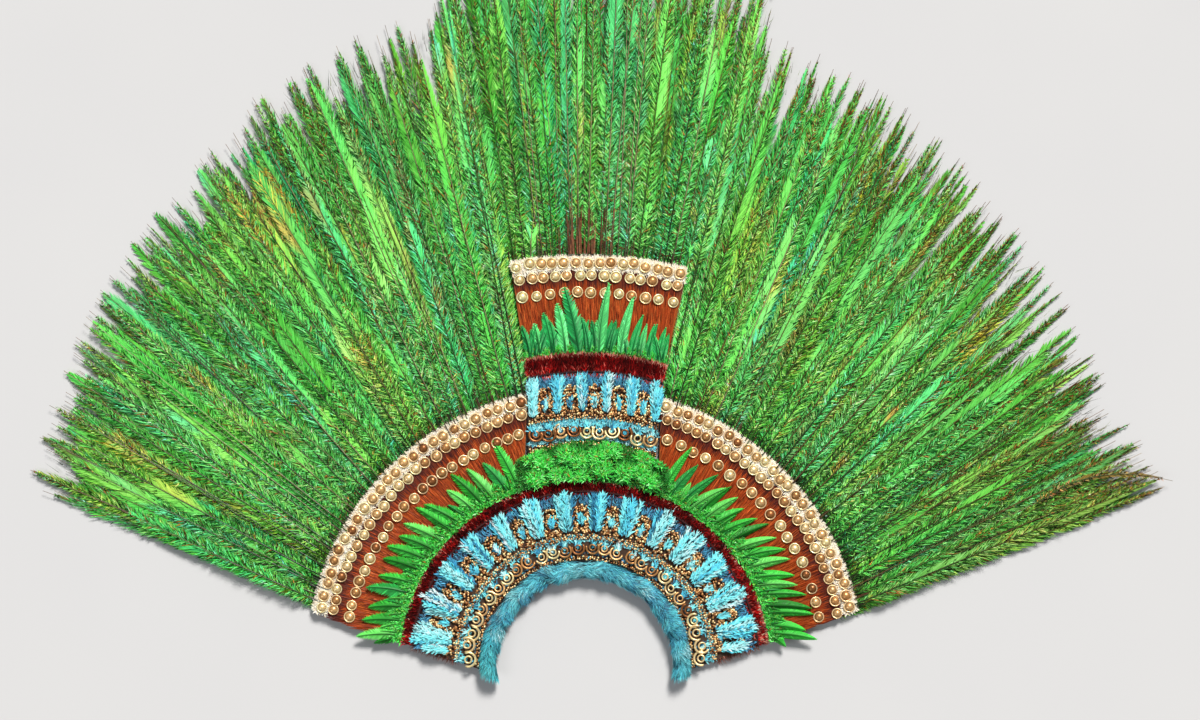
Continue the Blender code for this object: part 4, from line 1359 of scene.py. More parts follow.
# %% [markdown]
# ## Pale edging
#
# The edging is white down. It could be a fur of particles, but those would not be exported, so it
# is a low strip covered with short curled blades that spill over on both sides. On the outside,
# where the plumes begin, they are shorter and lie more anyhow.
# %% Pale edging
CREAMS = shades((255, 250, 236), (250, 238, 212), (240, 214, 178), (196, 156, 118))


def rim_height(across):
    return np.interp(across, (-0.04, 0.1, 0.8, 1.04), (0.0112, 0.0128, 0.0128, 0.0092))


def edging_down(chance, count, place, inner, width, outwards, at_edge):
    """Curled blades over an edging; at_edge is how long they are on its outside."""
    across = chance.uniform(-0.04, 1.04, count)
    origins = place(inner + width * across, rim_height(across), chance.random(count))
    tones = picked(chance, count, CREAMS, (10, 5, 1.5, 0.5), 0.03)
    wild = np.where(across > 0.8, 1.9, 1.1)
    heading = outwards(origins) + np.where(across < 0.25, pi, 0) + wild * chance.normal(0, 1, count)
    length = chance.uniform(0.003, 0.0065, count)
    length = length * np.interp(across, (0.7, 0.9, 1.04), (1, at_edge, 0.8 * at_edge))
    axes = lay(heading, chance.uniform(-0.1, 0.5, count), chance.normal(0, 0.5, count),
               length, chance.uniform(0.0009, 0.0019, count), 0.001)
    return copies(blade, origins, axes, tones * 0.92, tones * 1.1)


# %% Lay the edging of the wings and the block
RIM_INNER, BLOCK_RIM_INNER = 0.4053, 0.6083
WING_EDGING = [(RIM_INNER, FIELD_LOW), (0.4280, FIELD_LOW), (0.4265, 0.0108), (0.4225, 0.0128),
               (0.4100, 0.0128), (RIM_INNER, 0.0118)]
BLOCK_EDGING = [(BLOCK_RIM_INNER, FIELD_LOW), (0.6300, FIELD_LOW), (0.6290, 0.0108), (0.6250, 0.0128),
                (0.6120, 0.0128), (BLOCK_RIM_INNER, 0.0118)]
WING_DOWN = (RIM_INNER, RIM_OUTER - RIM_INNER, from_head, 0.45)
BLOCK_DOWN = (BLOCK_RIM_INNER, 0.0217, up_tower, 0.6)
for part, place, section, lengths, count, facts in (
        ("left", on_wing("left"), WING_EDGING, WING_LENGTHS, 9500, WING_DOWN),
        ("right", on_wing("right"), WING_EDGING, WING_LENGTHS, 9500, WING_DOWN),
        ("tower", on_course, BLOCK_EDGING, BLOCK_LENGTHS, 5500, BLOCK_DOWN)):
    settle(strip(f"edging_{part}", section, place, lengths), cream_core, [f"cream_rim_{part}"])
    blades = edging_down(chances(f"rim {part}"), count, place, *facts)
    settle(join(f"edging_down_{part}", [blades]), cream_finish)

# %% [markdown]
# ## Strokes of feather between two places
#
# The rest of the band is short feathers, tufts and beads that follow its rings or the courses of
# the block. Both are described in the same way: how far round or across, and how far out. A stroke
# is one blade that runs from one such place to another, so a tuft or a pile is a list of places.
# %% Places on the band and on the block
def ring_place(angle, radius, height):
    return ring(radius, angle, height)


def per_metre_of_ring(radius):
    return -1.0 / radius


def per_metre_of_block(level):
    return 1.0 / np.interp(level, TOWER_LEVELS, TOWER_HALVES)


BAND = SimpleNamespace(place=ring_place, per_metre=per_metre_of_ring)
BLOCK = SimpleNamespace(place=on_tower, per_metre=per_metre_of_block)


# %% Strokes
def strokes(chance, row, at, out, aside, ahead, height, lift, width, root, tip=None, model=blade, tilt=0.35):
    """Blades that start at (at, out) and end a step aside and ahead of it. lift and width are ranges."""
    count = len(at)
    lift, width = chance.uniform(*lift, count), chance.uniform(*width, count)
    start, stop = row.place(at, out, height), row.place(at + aside, out + ahead, height + lift)
    along = stop - start
    facing = UP + tilt * chance.normal(0, 1, (count, 3))
    sign = np.where(chance.random(count) < 0.5, -1.0, 1.0)
    axes = lay_on(along, facing, np.linalg.norm(along, axis=1), width * sign, 0.001)
    return copies(model, start, axes, root, tip)


def swung(chance, row, at, out, length, swing, height, lift, width, tones, ends, tilt, forward=1):
    """Strokes of a given length that swing round from straight outwards, darker at the root."""
    aside, ahead = row.per_metre(out) * length * np.sin(swing), length * np.cos(swing) * forward
    root, tip = (tones * shade_of_end for shade_of_end in ends)
    return strokes(chance, row, at, out, aside, ahead, height, lift, width, root, tip, tilt=tilt)


def down(chance, row, at, out, height, wild, size, tones, lift=(0, 0.003), light=1.2):
    """Short feathers that swing either way; wild is how far, in radians."""
    swing, length = chance.normal(0, wild, len(at)), chance.uniform(*size, len(at))
    return swung(chance, row, at, out, length, swing, height, lift, (0.0012, 0.0026), tones,
                 (0.7, light), 0.5)


# %% [markdown]
# ## Crimson pile
#
# The dark red strip is a thick pile of short feathers standing on edge, nearly black between them.
# Its outer edge shows the feathers' pale salmon roots in places, and on the block its lower edge is frayed
# and a brighter red. The core is a low strip, and the hairs stand on its surface. Humps of painted light and
# shade run along the pile.
# %% Crimson pile
CRIMSONS = shades((72, 3, 3), (98, 5, 4), (134, 14, 13), (38, 2, 2))
BRIGHT_REDS = shades((184, 26, 22), (150, 14, 12), (210, 96, 84), (108, 8, 8))
SALMONS = shades((206, 112, 98), (228, 178, 150), (170, 70, 58))


def fold_shading(at, rate):
    """Painted light and shade in humps along a pile, as where its feathers part."""
    return 1.0 + 0.55 * np.sin(at * rate) * np.sin(at * rate * 0.37 + 1.0) + 0.25 * np.sin(at * rate * 2.3)


def crimson_pile(chance, count, row, ends, low, high, height, length, salmon, frayed, rate):
    """salmon and frayed give how likely those colours are at a place and a share of the width."""
    at, share = chance.uniform(*ends, count), chance.random(count)
    tones = picked(chance, count, CRIMSONS, (4, 4, 2, 2), 0.25)
    for colours, shares, likely in ((BRIGHT_REDS, (4, 4, 2, 2), frayed(at, share)),
                                    (SALMONS, (4, 3, 3), salmon(at, share))):
        chosen = likely > chance.random(count)
        tones[chosen] = picked(chance, int(chosen.sum()), colours, shares, 0.12)
    # Painted light and shade in humps along the pile.
    tones = tones * fold_shading(at, rate)[:, None]
    size, swing = chance.uniform(*length, count), chance.normal(0, 0.30, count)
    bulge = height * (0.86 + 0.14 * np.sin(pi * share))
    backward = np.where(share < 0.10, -0.5, 1)
    return swung(chance, row, at, low + (high - low) * share, size, swing, bulge, (0.0, 0.0035),
                 (0.0010, 0.0020), tones, (0.75, 1.3), 0.6, backward)


# %% Where the pile is salmon, and where it is frayed
def main_salmon(at, share):
    """Salmon shows in patches on the outer edge, and most at the right end."""
    patches = np.clip(np.sin(at * 23) + np.sin(at * 41 + 1) - 0.3, 0, 1)
    return (share > 0.74) * (0.10 + 0.45 * patches + 0.9 * (at < radians(21))) + (at < radians(15)) * 0.35


def main_frayed(at, share):
    return 0.10 + 0.6 * (at < radians(34)) + 0.35 * np.clip(np.sin(at * 11) - 0.2, 0, 1)


def tower_salmon(at, share):
    on_edges = np.clip((share - 0.80) * 7, 0, 0.9) + np.clip((0.12 - share) * 5, 0, 0.35)
    return on_edges + (np.abs(at) > 0.97) * 0.3


def tower_frayed(at, share):
    return np.clip((0.42 - share) * 2.6, 0, 0.85)


# %% Crimson strips
section = [(0.2640, 0), (0.2830, 0), (0.2830, 0.0118), (0.2800, 0.0160), (0.2670, 0.0160), (0.2640, 0.0118)]
settle(strip("crimson_core_main", section, on_band, BAND_LENGTHS), crimson_core, ["crimson_strip_main"])
ends = (right_end(0.2735), pi - right_end(0.2735))
pile = crimson_pile(chances("crimson main"), 8500, BAND, ends, 0.2648, 0.2805, 0.0166, (0.004, 0.0080),
                    main_salmon, main_frayed, rate=37.0)
settle(join("crimson_pile_main", [pile]), pile_finish)
section = [(0.4463, FIELD_LOW), (0.4780, FIELD_LOW), (0.4780, 0.0118), (0.4735, 0.0160), (0.4510, 0.0160),
           (0.4463, 0.0118)]
settle(strip("crimson_core_tower", section, on_course, BLOCK_LENGTHS), crimson_core, ["crimson_strip_tower"])
pile = crimson_pile(chances("crimson tower"), 6000, BLOCK, (-1.0, 1.0), 0.4475, 0.4725, 0.0170,
                    (0.007, 0.015), tower_salmon, tower_frayed, rate=11.0)
settle(join("crimson_pile_tower", [pile]), pile_finish)

# %% [markdown]
# ## Green leaf fringe
#
# A strip of short mossy feathers, with long pointed ones like leaves standing out from it. A leaf
# is a sheet that is widest near its foot and folded along its middle, and its tip curves aside. It
# starts as a grid, whose points are placed by that rule. Barbs laid along its edges give them fine
# teeth, and a dark quill runs along the ridge.
# %% Model a leaf
LEAF_CURVE = 0.55
LEAF_OUTLINE = ((0, 0.10, 0.28, 0.5, 0.72, 0.88, 0.97, 1), (0.40, 0.78, 1.0, 0.92, 0.68, 0.40, 0.16, 0.0))


def leaf_half(share):
    """Half width of a leaf along its length, as a share of its full width."""
    return 0.5 * np.interp(share, *LEAF_OUTLINE)


def leaf_point(share, across):
    """A place on a leaf from its foot, 0, to its tip, 1, and from one edge, -1, to the other, 1."""
    half = leaf_half(share)
    fold = (0.55 - 0.95 * np.abs(across) ** 1.15) * (0.25 + half * 1.5)
    return np.stack([share, across * half + LEAF_CURVE * share ** 2, fold - 0.35 * share ** 2], axis=-1)


def make_leaf():
    bpy.ops.mesh.primitive_grid_add(x_subdivisions=10, y_subdivisions=4, size=1, location=(0.5, 0, 0))
    leaf = bpy.context.object
    apply_place(leaf)
    for vertex in leaf.data.vertices:
        vertex.co = leaf_point(vertex.co.x, vertex.co.y * 2)
    edit(leaf, lambda co: co.x > 0.999)
    bpy.ops.mesh.merge(type="CENTER")
    done()
    return read_model(leaf)


leaf = make_leaf()

# %% Leaves with their barbs and quills
LEAF_GREENS = shades((66, 200, 70), (38, 150, 42), (112, 230, 104), (48, 168, 76))
TEAL_GREENS = shades((46, 190, 98), (34, 160, 82), (92, 218, 124), (42, 178, 96))
LEAF_DEPTH, LEAF_TEETH, LEAF_LENGTHS, LEAF_QUILL_SHARE = 0.0070, 24, 5, 0.96


def leaves_at(chance, feet, heading, length, width, turn, greens):
    """Leaves with their barbs and quills. turn is how far a leaf curves: its sign is the side."""
    count = len(feet)
    tones = picked(chance, count, greens, (4, 2, 3, 2), 0.10)
    climb = chance.uniform(0.0, 0.05, count)
    axes = lay(heading, climb, chance.normal(0, 0.12, count), length, width * turn, LEAF_DEPTH)

    def mapped(share, across, owner):
        return feet[owner] + np.einsum("nk,nkj->nj", leaf_point(share, across), axes[owner])

    owner = np.repeat(np.arange(count), 2 * LEAF_TEETH)
    tip = np.tile(np.repeat(0.10 + 0.90 * (np.arange(LEAF_TEETH) + 0.5) / LEAF_TEETH, 2), count)
    side = np.tile([-1.0, 1.0], count * LEAF_TEETH)
    inward = leaf_half(tip) * 0.75 * (width / length)[owner] / 0.55
    start = mapped(np.maximum(tip - inward, 0), side * 0.25, owner)
    run = mapped(tip, side * (1.12 + chance.normal(0, 0.15, len(owner))), owner) + 0.0002 * UP - start
    barb_tones = tones[owner] * np.exp(chance.normal(0, 0.30, len(owner)))[:, None]
    barb_axes = lay_on(run, UP, np.linalg.norm(run, axis=1), length[owner] / LEAF_TEETH * 1.15 * side, 0.0004)

    owner = np.repeat(np.arange(count), LEAF_LENGTHS)
    near = np.tile(np.arange(LEAF_LENGTHS), count) / LEAF_LENGTHS * LEAF_QUILL_SHARE
    far = near + LEAF_QUILL_SHARE / LEAF_LENGTHS
    foot, end = (mapped(share, np.zeros(len(owner)), owner) + 0.0005 * UP for share in (near, far))
    thick = 0.0012 * QUILL_THINS ** (near * LEAF_LENGTHS)
    quill_axes = lay_on(end - foot, UP, np.linalg.norm(end - foot, axis=1), thick, thick)
    # Painted shade: each leaf is painted darker towards its foot, where it sits in the moss.
    return [copies(leaf, feet, axes, tones * 0.42, tones * 1.05),
            copies(blade, start + 0.0004 * UP, barb_axes, barb_tones * 0.7, barb_tones * 1.25),
            copies(quill_length, foot, quill_axes, tones[owner] * 0.25)]


# %% [markdown]
# ### The fringe of each wing
#
# On the wings the leaves stand in one row, all leaning the same way and a little less near the
# block, with shorter ones between their feet. Both come out of the moss. A hand would never space
# them quite evenly, so every leaf is moved, turned and sized a little by chance.
# %% Moss
# The darkest green is partly the moss's own tone and partly painted shade between blades.
MOSSES = shades((80, 224, 92), (58, 194, 60), (128, 244, 124), (30, 96, 20), (126, 196, 74), (150, 92, 44))
MOSS_SHARES = (5, 4, 3.5, 2.2, 1.5, 0.4)


def moss(chance, row, at, out, height, wild, size=(0.004, 0.009), spread=0.34):
    tones = picked(chance, len(at), MOSSES, MOSS_SHARES, spread)
    return down(chance, row, at, out, height, wild, size, tones, (-0.0005, 0.0045), 1.25)


# %% Fringe of each wing
STRIP_OUTER, MOSS_BLADES = 0.303, 7600
WING_LEAVES = {"left": (16, 10, 1.0), "right": (19, -22, -1.0)}       # how many, lean in degrees, turn


def wing_leaves(chance, side, count, lean, turn):
    """The long leaves of a wing, and twice as many short ones between them."""
    share = middles(count) + chance.normal(0, 0.006, count)
    foot = chance.uniform(0.290, 0.298, count)
    angle = wing_angle(foot, share, side)
    tip = chance.uniform(0.342, 0.360, count)
    tip[-1] = 0.374
    leans = np.radians(lean + chance.normal(0, 5, count))
    leans = leans * np.interp(share, (0, 0.1, 0.8, 1), (0.6, 1, 1, 0.3))
    width = chance.uniform(0.0145, 0.0180, count)
    tall = leaves_at(chance, ring(foot, angle, 0.0160), angle + leans * 0.6, (tip - foot) / np.cos(leans),
                     width, turn, LEAF_GREENS)
    count *= 2
    share = middles(count) + chance.normal(0, 0.010, count)
    angle = wing_angle(0.292, np.clip(share, 0.01, 0.99), side)
    heading = angle + np.radians(lean * 0.6 + chance.normal(0, 14, count))
    length, width = chance.uniform(0.022, 0.036, count), chance.uniform(0.009, 0.013, count)
    return tall + leaves_at(chance, ring(0.292, angle, 0.0150), heading, length, width, turn, LEAF_GREENS)


for side, facts in WING_LEAVES.items():
    chance = chances(f"fringe {side}")
    section = [(FIELD_INNER, 0.0116), (STRIP_OUTER, 0.0116), (STRIP_OUTER - 0.002, 0.0140),
               (FIELD_INNER + 0.002, 0.0146)]
    settle(strip(f"fringe_core_{side}", section, on_wing(side), WING_LENGTHS), green_core,
           [f"green_fringe_{side}"])
    out = 0.2842 + 0.0235 * chance.random(MOSS_BLADES) ** 1.1
    at = wing_angle(out, chance.random(MOSS_BLADES), side)
    height = np.interp(out, (0.284, 0.300, 0.310), (0.0152, 0.0158, 0.0125))
    covering = moss(chance, BAND, at, out, height, 0.8)
    leaves = wing_leaves(chance, side, *facts)
    settle(join(f"fringe_moss_{side}", [covering]), leaf_finish)
    settle(join(f"leaves_{side}", leaves), leaf_finish)

# %% [markdown]
# ### The fringe of the block
#
# The block's leaves are bluer and of very different lengths, and they open like a hand. Twelve of
# them are set one by one, because their order makes the outline; thirty short ones fill the gaps.
# %% Fringe of the block
TOWER_LEAVES = np.array([      # across, length, lean of the tip, all as on the CAD node
    (-0.93, 0.038, -0.010), (-0.78, 0.034, -0.008), (-0.62, 0.052, -0.010), (-0.44, 0.064, -0.008),
    (-0.24, 0.090, -0.022), (-0.10, 0.034, -0.004), (0.05, 0.094, 0.002), (0.19, 0.036, 0.004),
    (0.34, 0.078, 0.012), (0.50, 0.052, 0.012), (0.72, 0.042, 0.010), (0.92, 0.024, 0.008)]).T
SHORT_LEAVES = 30
chance = chances("fringe tower")
section = [(0.4790, 0.0116), (0.4930, 0.0116), (0.4915, 0.0140), (0.4800, 0.0146)]
settle(strip("fringe_core_tower", section, on_course, BLOCK_LENGTHS), green_core, ["green_fringe_tower"])
across = np.append(TOWER_LEAVES[0], chance.uniform(-0.95, 0.95, SHORT_LEAVES))
length = np.append(TOWER_LEAVES[1], chance.uniform(0.018, 0.042, SHORT_LEAVES)) + 0.012
lean = np.append(TOWER_LEAVES[2], chance.normal(0, 0.004, SHORT_LEAVES))
feet = on_tower(across, 0.4830, np.where(length > 0.08, 0.0175, 0.0152))
turn = np.where(lean < 0, 0.6, -0.6)
width = np.interp(length, (0.03, 0.06, 0.10), (0.0165, 0.0215, 0.0290))
heading = pi / 2 + TOWER_LEAN - np.arctan2(lean, length) * 0.8
leaves = leaves_at(chance, feet, heading, length, width, turn, TEAL_GREENS)
count = 1500
at, out = chance.uniform(-1, 1, count), chance.uniform(0.4785, 0.489, count)
covering = moss(chance, BLOCK, at, out, 0.0150, 0.5)
settle(join("leaves_tower", leaves + [covering]), leaf_finish)

# %% [markdown]
# ### The tuft at the crown
#
# Between the wings, below the block, is a thick cushion of moss in rolling heaps. Its core is a low strip.
# Two rows of invisible middles say where the heaps are; blades on a heap stand higher and are painted light,
# and those between heaps are painted dark, as shade.
# %% Mossy tuft at the crown
TUFT_INNER, TUFT_OUTER = 0.2838, 0.3357
chance = chances("crown tuft")
section = [(TUFT_INNER, FIELD_LOW), (TUFT_OUTER, FIELD_LOW), (TUFT_OUTER - 0.003, 0.0135),
           (TUFT_OUTER - 0.014, 0.0175), (TUFT_INNER + 0.014, 0.0180), (TUFT_INNER + 0.002, 0.0140)]
settle(strip("crown_tuft_core", section, between_wings, 20), green_core, ["green_tuft_crown"])


def heaps(at, out):
    """Rolling heaps from 0 to 1 over the tuft's top, one about each of two rows of middles."""
    scatter = chances("heaps")
    right, left = block_side(0.31, "right"), block_side(0.31, "left")
    columns = np.tile(middles(8), 2) + np.repeat((-0.03, 0.03), 8)
    middle_at = right + (left - right) * columns + scatter.normal(0, 0.022, 16)
    middle_out = np.repeat((0.2975, 0.3225), 8) + scatter.normal(0, 0.0075, 16)
    nearest = np.min(np.hypot(0.31 * (at[:, None] - middle_at), out[:, None] - middle_out), axis=1)
    return np.clip(1.15 - (nearest / 0.0155) ** 2, 0, 1)


count = 15000
share = chance.random(count)
edge = TUFT_OUTER + 0.006 - 0.015 * np.abs(2 * share - 1) ** 2
out = TUFT_INNER + 0.001 + (edge - TUFT_INNER) * chance.random(count)
right, left = block_side(out, "right"), block_side(out, "left")
at = right - 0.04 + (left - right + 0.07) * share
heap = heaps(at, out)
slopes = (TUFT_INNER, TUFT_INNER + 0.012, TUFT_OUTER - 0.012, TUFT_OUTER + 0.006)
height = np.interp(out, slopes, (0.0155, 0.0185, 0.0185, 0.0160)) + 0.010 * heap
spots, faces, charts, tints = moss(chance, BAND, at, out, height, 1.1, (0.004, 0.0095), 0.22)
# Painted light and shade: blades are lighter on the heaps and darker between them.
blades = spots, faces, charts, tints * (0.40 + 0.98 * heap)[:, None, None]
settle(join("crown_tuft", [blades]), leaf_finish)

# %% [markdown]
# ## Ornament band
#
# Between the roll of down and the crimson pile is the richest ring. Tall tufts of bright blue
# feathers stand out like little fans. Between them, heaps of gold beads frame a small tuft. Nearer
# the head, two belts of beads hold a row of gold crescents with blue down in them. The ground is
# brown cloth. A tuft is made of a few locks that start close together and spread, each with its own
# tone, so we describe one lock and repeat it.
# %% Tufts
BLUES = shades((122, 232, 250), (156, 244, 248), (88, 196, 222), (190, 246, 248), (50, 124, 156))
BLUE_SHARES = (5, 4, 3, 1.5, 0.8)
FRINGE_BLUES = shades((78, 158, 196), (100, 194, 226), (52, 100, 128), (110, 150, 190), (34, 50, 60))
FRINGE_SHARES = (4, 3, 3, 1, 2)


def tall_tufts(chance, row, centres, low, high, half_low, half_high, height, locks=7, blades=64, rise=0.0095,
               end_light=0.0):
    """Fans of locks. Half widths are in metres; low and high are how far out a tuft starts and ends."""
    tuft = np.repeat(np.arange(len(centres)), locks * blades)
    lock = np.tile(np.repeat(np.arange(locks), blades), len(centres))
    total = len(tuft)
    each = len(centres) * locks
    which = tuft * locks + lock
    broad = np.exp(chance.normal(0, 0.10, len(centres)))[tuft]
    spread = ((lock + 0.5) / locks * 2 - 1) + chance.normal(0, 0.08, each)[which]
    top = high + chance.normal(-0.001, 0.0026, each)[which] - 0.006 * spread ** 2
    share = chance.random(total) ** 0.85
    wide = (half_low + (half_high - half_low) * share ** 1.2) * broad
    aside = spread * wide + chance.normal(0, 0.0009, total)
    out = low + (top - low) * share * 0.94
    size = chance.uniform(0.006, 0.011, total)
    swing = np.arctan2(spread * (half_high - half_low) * 1.2, high - low) + chance.normal(0, 0.30, total)
    dome = np.sin(pi * np.clip(share * 0.76 + 0.12, 0, 1)) * (1 - 0.6 * spread ** 2)
    tones = picked(chance, each, BLUES, BLUE_SHARES, 0.10)[which]
    tones = tones * np.exp(chance.normal(0, 0.18, total))[:, None]
    # Painted shade: some blades are painted nearly black, as gaps inside a tuft.
    tones = np.where((chance.random(total) < 0.14)[:, None], tones * 0.16, tones)
    tones = tones * (1.0 + end_light * np.abs(np.cos(centres)))[tuft][:, None]
    at = centres[tuft] + row.per_metre(out) * aside
    return swung(chance, row, at, out, size, swing, height + rise * dome, (-0.0012, 0.0022), (0.0014, 0.0030),
                 tones, (0.9, 1.5), 0.3)


# %% Heaps and belts of beads, and crescents
BEAD_SHARES = (5, 4, 4, 2.5, 2.5)
CRESCENT_SIZE = 0.0230


def bead_heaps(chance, row, centres, low, high, half, slot, height, each):
    """Jumbled beads round each centre, with an open slot (half width, from, to) for a small tuft."""
    at = np.repeat(centres, each)
    aside, out = chance.uniform(-half, half, len(at)), chance.uniform(low, high, len(at))
    slot_half, slot_low, slot_high = slot
    free = (np.abs(aside) > slot_half) | (out < slot_low) | (out > slot_high)
    corner = (np.abs(aside) / half) ** 2 + np.clip((out - high + half) / half, 0, 1) ** 2 < 1.0
    keep = free & corner
    at, aside, out = at[keep], aside[keep], out[keep]
    lifts = chance.uniform(0, 0.0032, len(at))
    spots = row.place(at + row.per_metre(out) * aside, out, height + lifts)
    return beads_at(chance, spots, 0.0040, BEAD_SHARES)


def bead_belt(chance, row, ends, level, height, rows=3):
    """Rows of beads side by side, a little uneven."""
    lines = []
    for number in range(rows):
        out = level + (number - (rows - 1) / 2) * 0.0031
        count = int(abs((ends[1] - ends[0]) / row.per_metre(np.array(out))) / 0.0038)
        at = ends[0] + (ends[1] - ends[0]) * (np.arange(count) + chance.uniform(0.2, 0.8, count)) / count
        out = out + chance.normal(0, 0.0007, count)
        lines.append(row.place(at, out, height + chance.uniform(0, 0.0022, count)))
    return beads_at(chance, np.concatenate(lines), 0.0037, BEAD_SHARES)


def crescents_at(chance, row, centres, level, height, outwards, size):
    """Crescents that open outwards, each turned and tipped a little."""
    count = len(centres)
    tones = picked(chance, count, GOLDS, (5, 4, 2, 1, 0), 0.12) * 1.12
    facing = outwards + chance.normal(0, 0.42, count)
    origins = row.place(centres, level + chance.normal(0, 0.0017, count), height)
    return copies(crescent, origins, turned(chance, count, size, 0.16, facing), tones)


# %% The blue feathers of the main band
GROUND_INNER, GROUND_OUTER, GROUND_TOP = 0.1618, 0.2632, 0.0115
TUFTS = np.radians(np.linspace(14.0, 168.8, 14))
ARCHES = (TUFTS[:-1] + TUFTS[1:]) / 2
SEAM, SEAM_HALF, END_TUFTS = radians(162.4), 0.007, np.radians((7.4, 173.3))
chance = chances("ornament main")
section = [(GROUND_INNER, 0), (GROUND_OUTER, 0), (GROUND_OUTER, GROUND_TOP), (GROUND_INNER, GROUND_TOP)]
settle(strip("ornament_ground_main", section, on_band, BAND_LENGTHS), brown_cloth, ["tuft_band_main"])


def band_down(count, low, high, height, size, colours, shares, spread, wild):
    out = chance.uniform(low, high, count)
    at = band_angle(out, chance.random(count))
    tones = picked(chance, count, colours, shares, spread)
    return down(chance, BAND, at, out, height, wild, size, tones)


def clear_of_seam(part, middles_of_copies):
    """Leaves out the copies that lie over the seam of the band, and numbers the others anew."""
    spots, faces, charts, tints = part
    away = np.abs(from_head(middles_of_copies) - SEAM) > SEAM_HALF
    left_out_before = (np.arange(len(spots))[away] - np.arange(away.sum()))[:, None, None]
    return spots[away], faces[away] - left_out_before * spots.shape[1], charts[away], tints[away]


parts = [band_down(2300, 0.2440, 0.2590, 0.0138, (0.006, 0.011), FRINGE_BLUES, FRINGE_SHARES, 0.2, 0.40),
         band_down(1500, 0.1900, 0.2000, 0.0128, (0.003, 0.0065), BLUES, BLUE_SHARES, 0.25, 1.3),
         band_down(500, 0.1690, 0.1740, 0.0122, (0.003, 0.006), FRINGE_BLUES, FRINGE_SHARES, 0.25, 1.3),
         tall_tufts(chance, BAND, TUFTS, 0.2060, 0.2690, 0.0076, 0.0152, 0.0142, end_light=0.26),
         tall_tufts(chance, BAND, END_TUFTS, 0.2090, 0.2500, 0.0040, 0.0072, 0.0138, locks=4, end_light=0.26),
         tall_tufts(chance, BAND, ARCHES, 0.2140, 0.2310, 0.0026, 0.0050, 0.0140, locks=3, blades=18,
                    rise=0.004)]
kept = [clear_of_seam(part, part[0][:, 0]) for part in parts]
settle(join("blue_feathers_main", kept), down_finish)

# %% [markdown]
# ### The gold of the main band
#
# The beads are sewn in jumbled heaps round each small tuft, and in belts of two and three rows. The
# crescents sit between the belts and open outwards, with a small lock of blue down in each.
# %% The gold of the main band
chance = chances("gold main")
heaps_at = np.concatenate([ARCHES, np.radians((9.6, 171.6))])
heaped = bead_heaps(chance, BAND, heaps_at, 0.2035, 0.2480, 0.0132, (0.0042, 0.2130, 0.2330), 0.0120, 150)
settle(join("bead_heaps_main", [clear_of_seam(heaped, heaped[0].mean(axis=1))]), gold_finish)
lines = []
for level, rows in ((0.1985, 3), (0.1660, 2)):
    ends = (right_end(level) + 0.01, pi - right_end(level) - 0.01)
    lines.append(bead_belt(chance, BAND, ends, level, 0.0117, rows))
settle(join("bead_belts_main", lines), gold_finish, ["bead_line_main_inner", "bead_line_main_outer"])
angle = band_angle(0.1810, middles(28)) + chance.normal(0, 0.006, 28)
size = CRESCENT_SIZE * np.interp(np.abs(middles(28) - 0.5), (0.34, 0.42), (1.0, 1.16))
crescents = crescents_at(chance, BAND, angle, 0.1810, 0.0148, angle, size)
settle(join("crescents_main", [crescents]), gold_finish, ["crescent_row_main"])
locks = tall_tufts(chance, BAND, angle, 0.1780, 0.1900, 0.0018, 0.0034, 0.0138, locks=3, blades=8, rise=0.003)
settle(join("blue_centres_main", [locks]), down_finish)

# %% [markdown]
# ### The ornament of the block
#
# The block repeats the main band on straight courses: six tall tufts, five arches of beads between
# them, and ten crescents. Because a tuft or a belt only asks for a place and for how many steps of
# it make a metre, the same functions lay them here.
# %% The ornament of the block
chance = chances("ornament tower")
GROUND_OF_BLOCK = 0.0143
section = flat_section(0.3370, 0.4460, GROUND_OF_BLOCK)
settle(strip("ornament_ground_tower", section, on_course, BLOCK_LENGTHS), brown_cloth, ["tuft_band_tower"])
across = np.linspace(-0.92, 0.93, 6)
arches = (across[:-1] + across[1:]) / 2
centres = middles(10) * 1.96 - 0.98
parts = []
for count, low, high, height, size, colours, shares, wild in (
        (900, 0.4260, 0.4400, 0.0160, (0.008, 0.014), FRINGE_BLUES, FRINGE_SHARES, 0.40),
        (1000, 0.3670, 0.3780, 0.0150, (0.004, 0.008), BLUES, BLUE_SHARES, 0.9),
        (700, 0.3450, 0.3520, 0.0148, (0.003, 0.006), BLUES, (3, 3, 2, 4, 1), 1.2)):
    at, out = chance.uniform(-0.99, 0.99, count), chance.uniform(low, high, count)
    tones = picked(chance, count, colours, shares, 0.22)
    parts.append(down(chance, BLOCK, at, out, height, wild, size, tones))
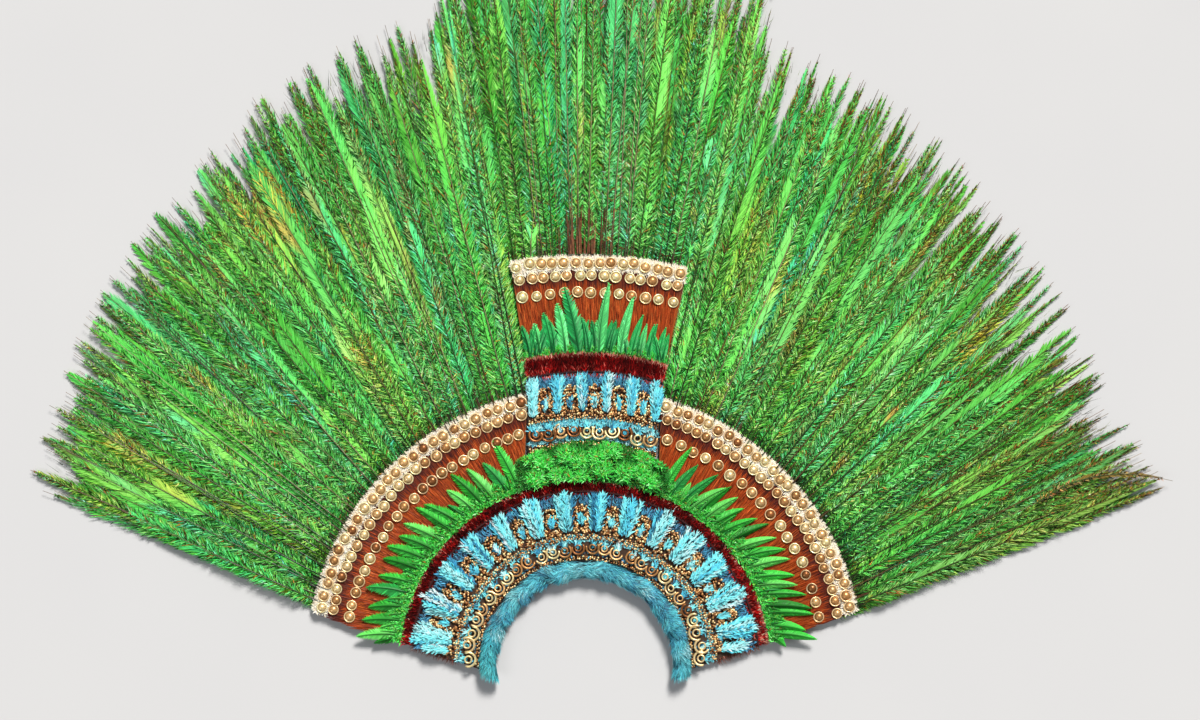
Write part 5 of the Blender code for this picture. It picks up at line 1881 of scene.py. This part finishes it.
parts += [
    tall_tufts(chance, BLOCK, across, 0.3890, 0.4490, 0.0028, 0.0086, 0.0165, rise=0.0065),
    tall_tufts(chance, BLOCK, arches, 0.3930, 0.4160, 0.0024, 0.0044, 0.0158, locks=3, blades=18, rise=0.004),
    tall_tufts(chance, BLOCK, centres, 0.3580, 0.3720, 0.0018, 0.0034, 0.0158, locks=3, blades=8, rise=0.003)]
settle(join("blue_feathers_tower", parts), down_finish)
slot = (0.0034, 0.3930, 0.4150)
heaped = bead_heaps(chance, BLOCK, arches, 0.3870, 0.4320, 0.0142, slot, GROUND_OF_BLOCK, 170)
settle(join("bead_heaps_tower", [heaped]), gold_finish)
lines = [bead_belt(chance, BLOCK, (-0.99, 0.99), level, GROUND_OF_BLOCK) for level in (0.3835, 0.3400)]
settle(join("bead_belts_tower", lines), gold_finish, ["bead_line_tower_lower", "bead_line_tower_upper"])
crescents = crescents_at(chance, BLOCK, centres, 0.3610, 0.0162, pi / 2 + TOWER_LEAN, CRESCENT_SIZE * 1.1)
settle(join("crescents_tower", [crescents]), gold_finish, ["crescent_row_tower"])

# %% [markdown]
# ## Frayed ends
#
# At both cut ends of the band the cloth has come apart into short threads of red and brown. They
# are the last feathers of all: single hairs, thrown over the end at every slant.
# %% Frayed ends of the band
FRAYS = shades((150, 84, 70), (190, 130, 110), (90, 44, 30), (120, 70, 46))
FRAYED_THREADS = 620
chance = chances("frayed ends")
out = chance.uniform(0.200, 0.268, FRAYED_THREADS)
on_left = chance.random(FRAYED_THREADS) < 0.5
at = np.where(on_left, pi - right_end(out) - 0.010, right_end(out) + 0.010)
aside = np.where(on_left, 1.0, -1.0) * chance.uniform(0.010, 0.050, FRAYED_THREADS) / out * 0.28
tones = picked(chance, FRAYED_THREADS, FRAYS, (3, 3, 3, 2), 0.2)
ahead, height = chance.normal(0.0, 0.006, FRAYED_THREADS), chance.uniform(0.004, 0.0125, FRAYED_THREADS)
frayed = strokes(chance, BAND, at, out, aside, ahead, height, (-0.003, 0.001), (0.0007, 0.0015), tones,
                 model=hair)
settle(join("frayed_ends", [frayed]), pile_finish)

size = {"cad": [list(v) for v in cad_box], "visual": [list(v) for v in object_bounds()]}
triangles = sum(len(p.vertices) - 2 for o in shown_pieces() if o.type == "MESH" for p in o.data.polygons)
print("triangles in all:", triangles)
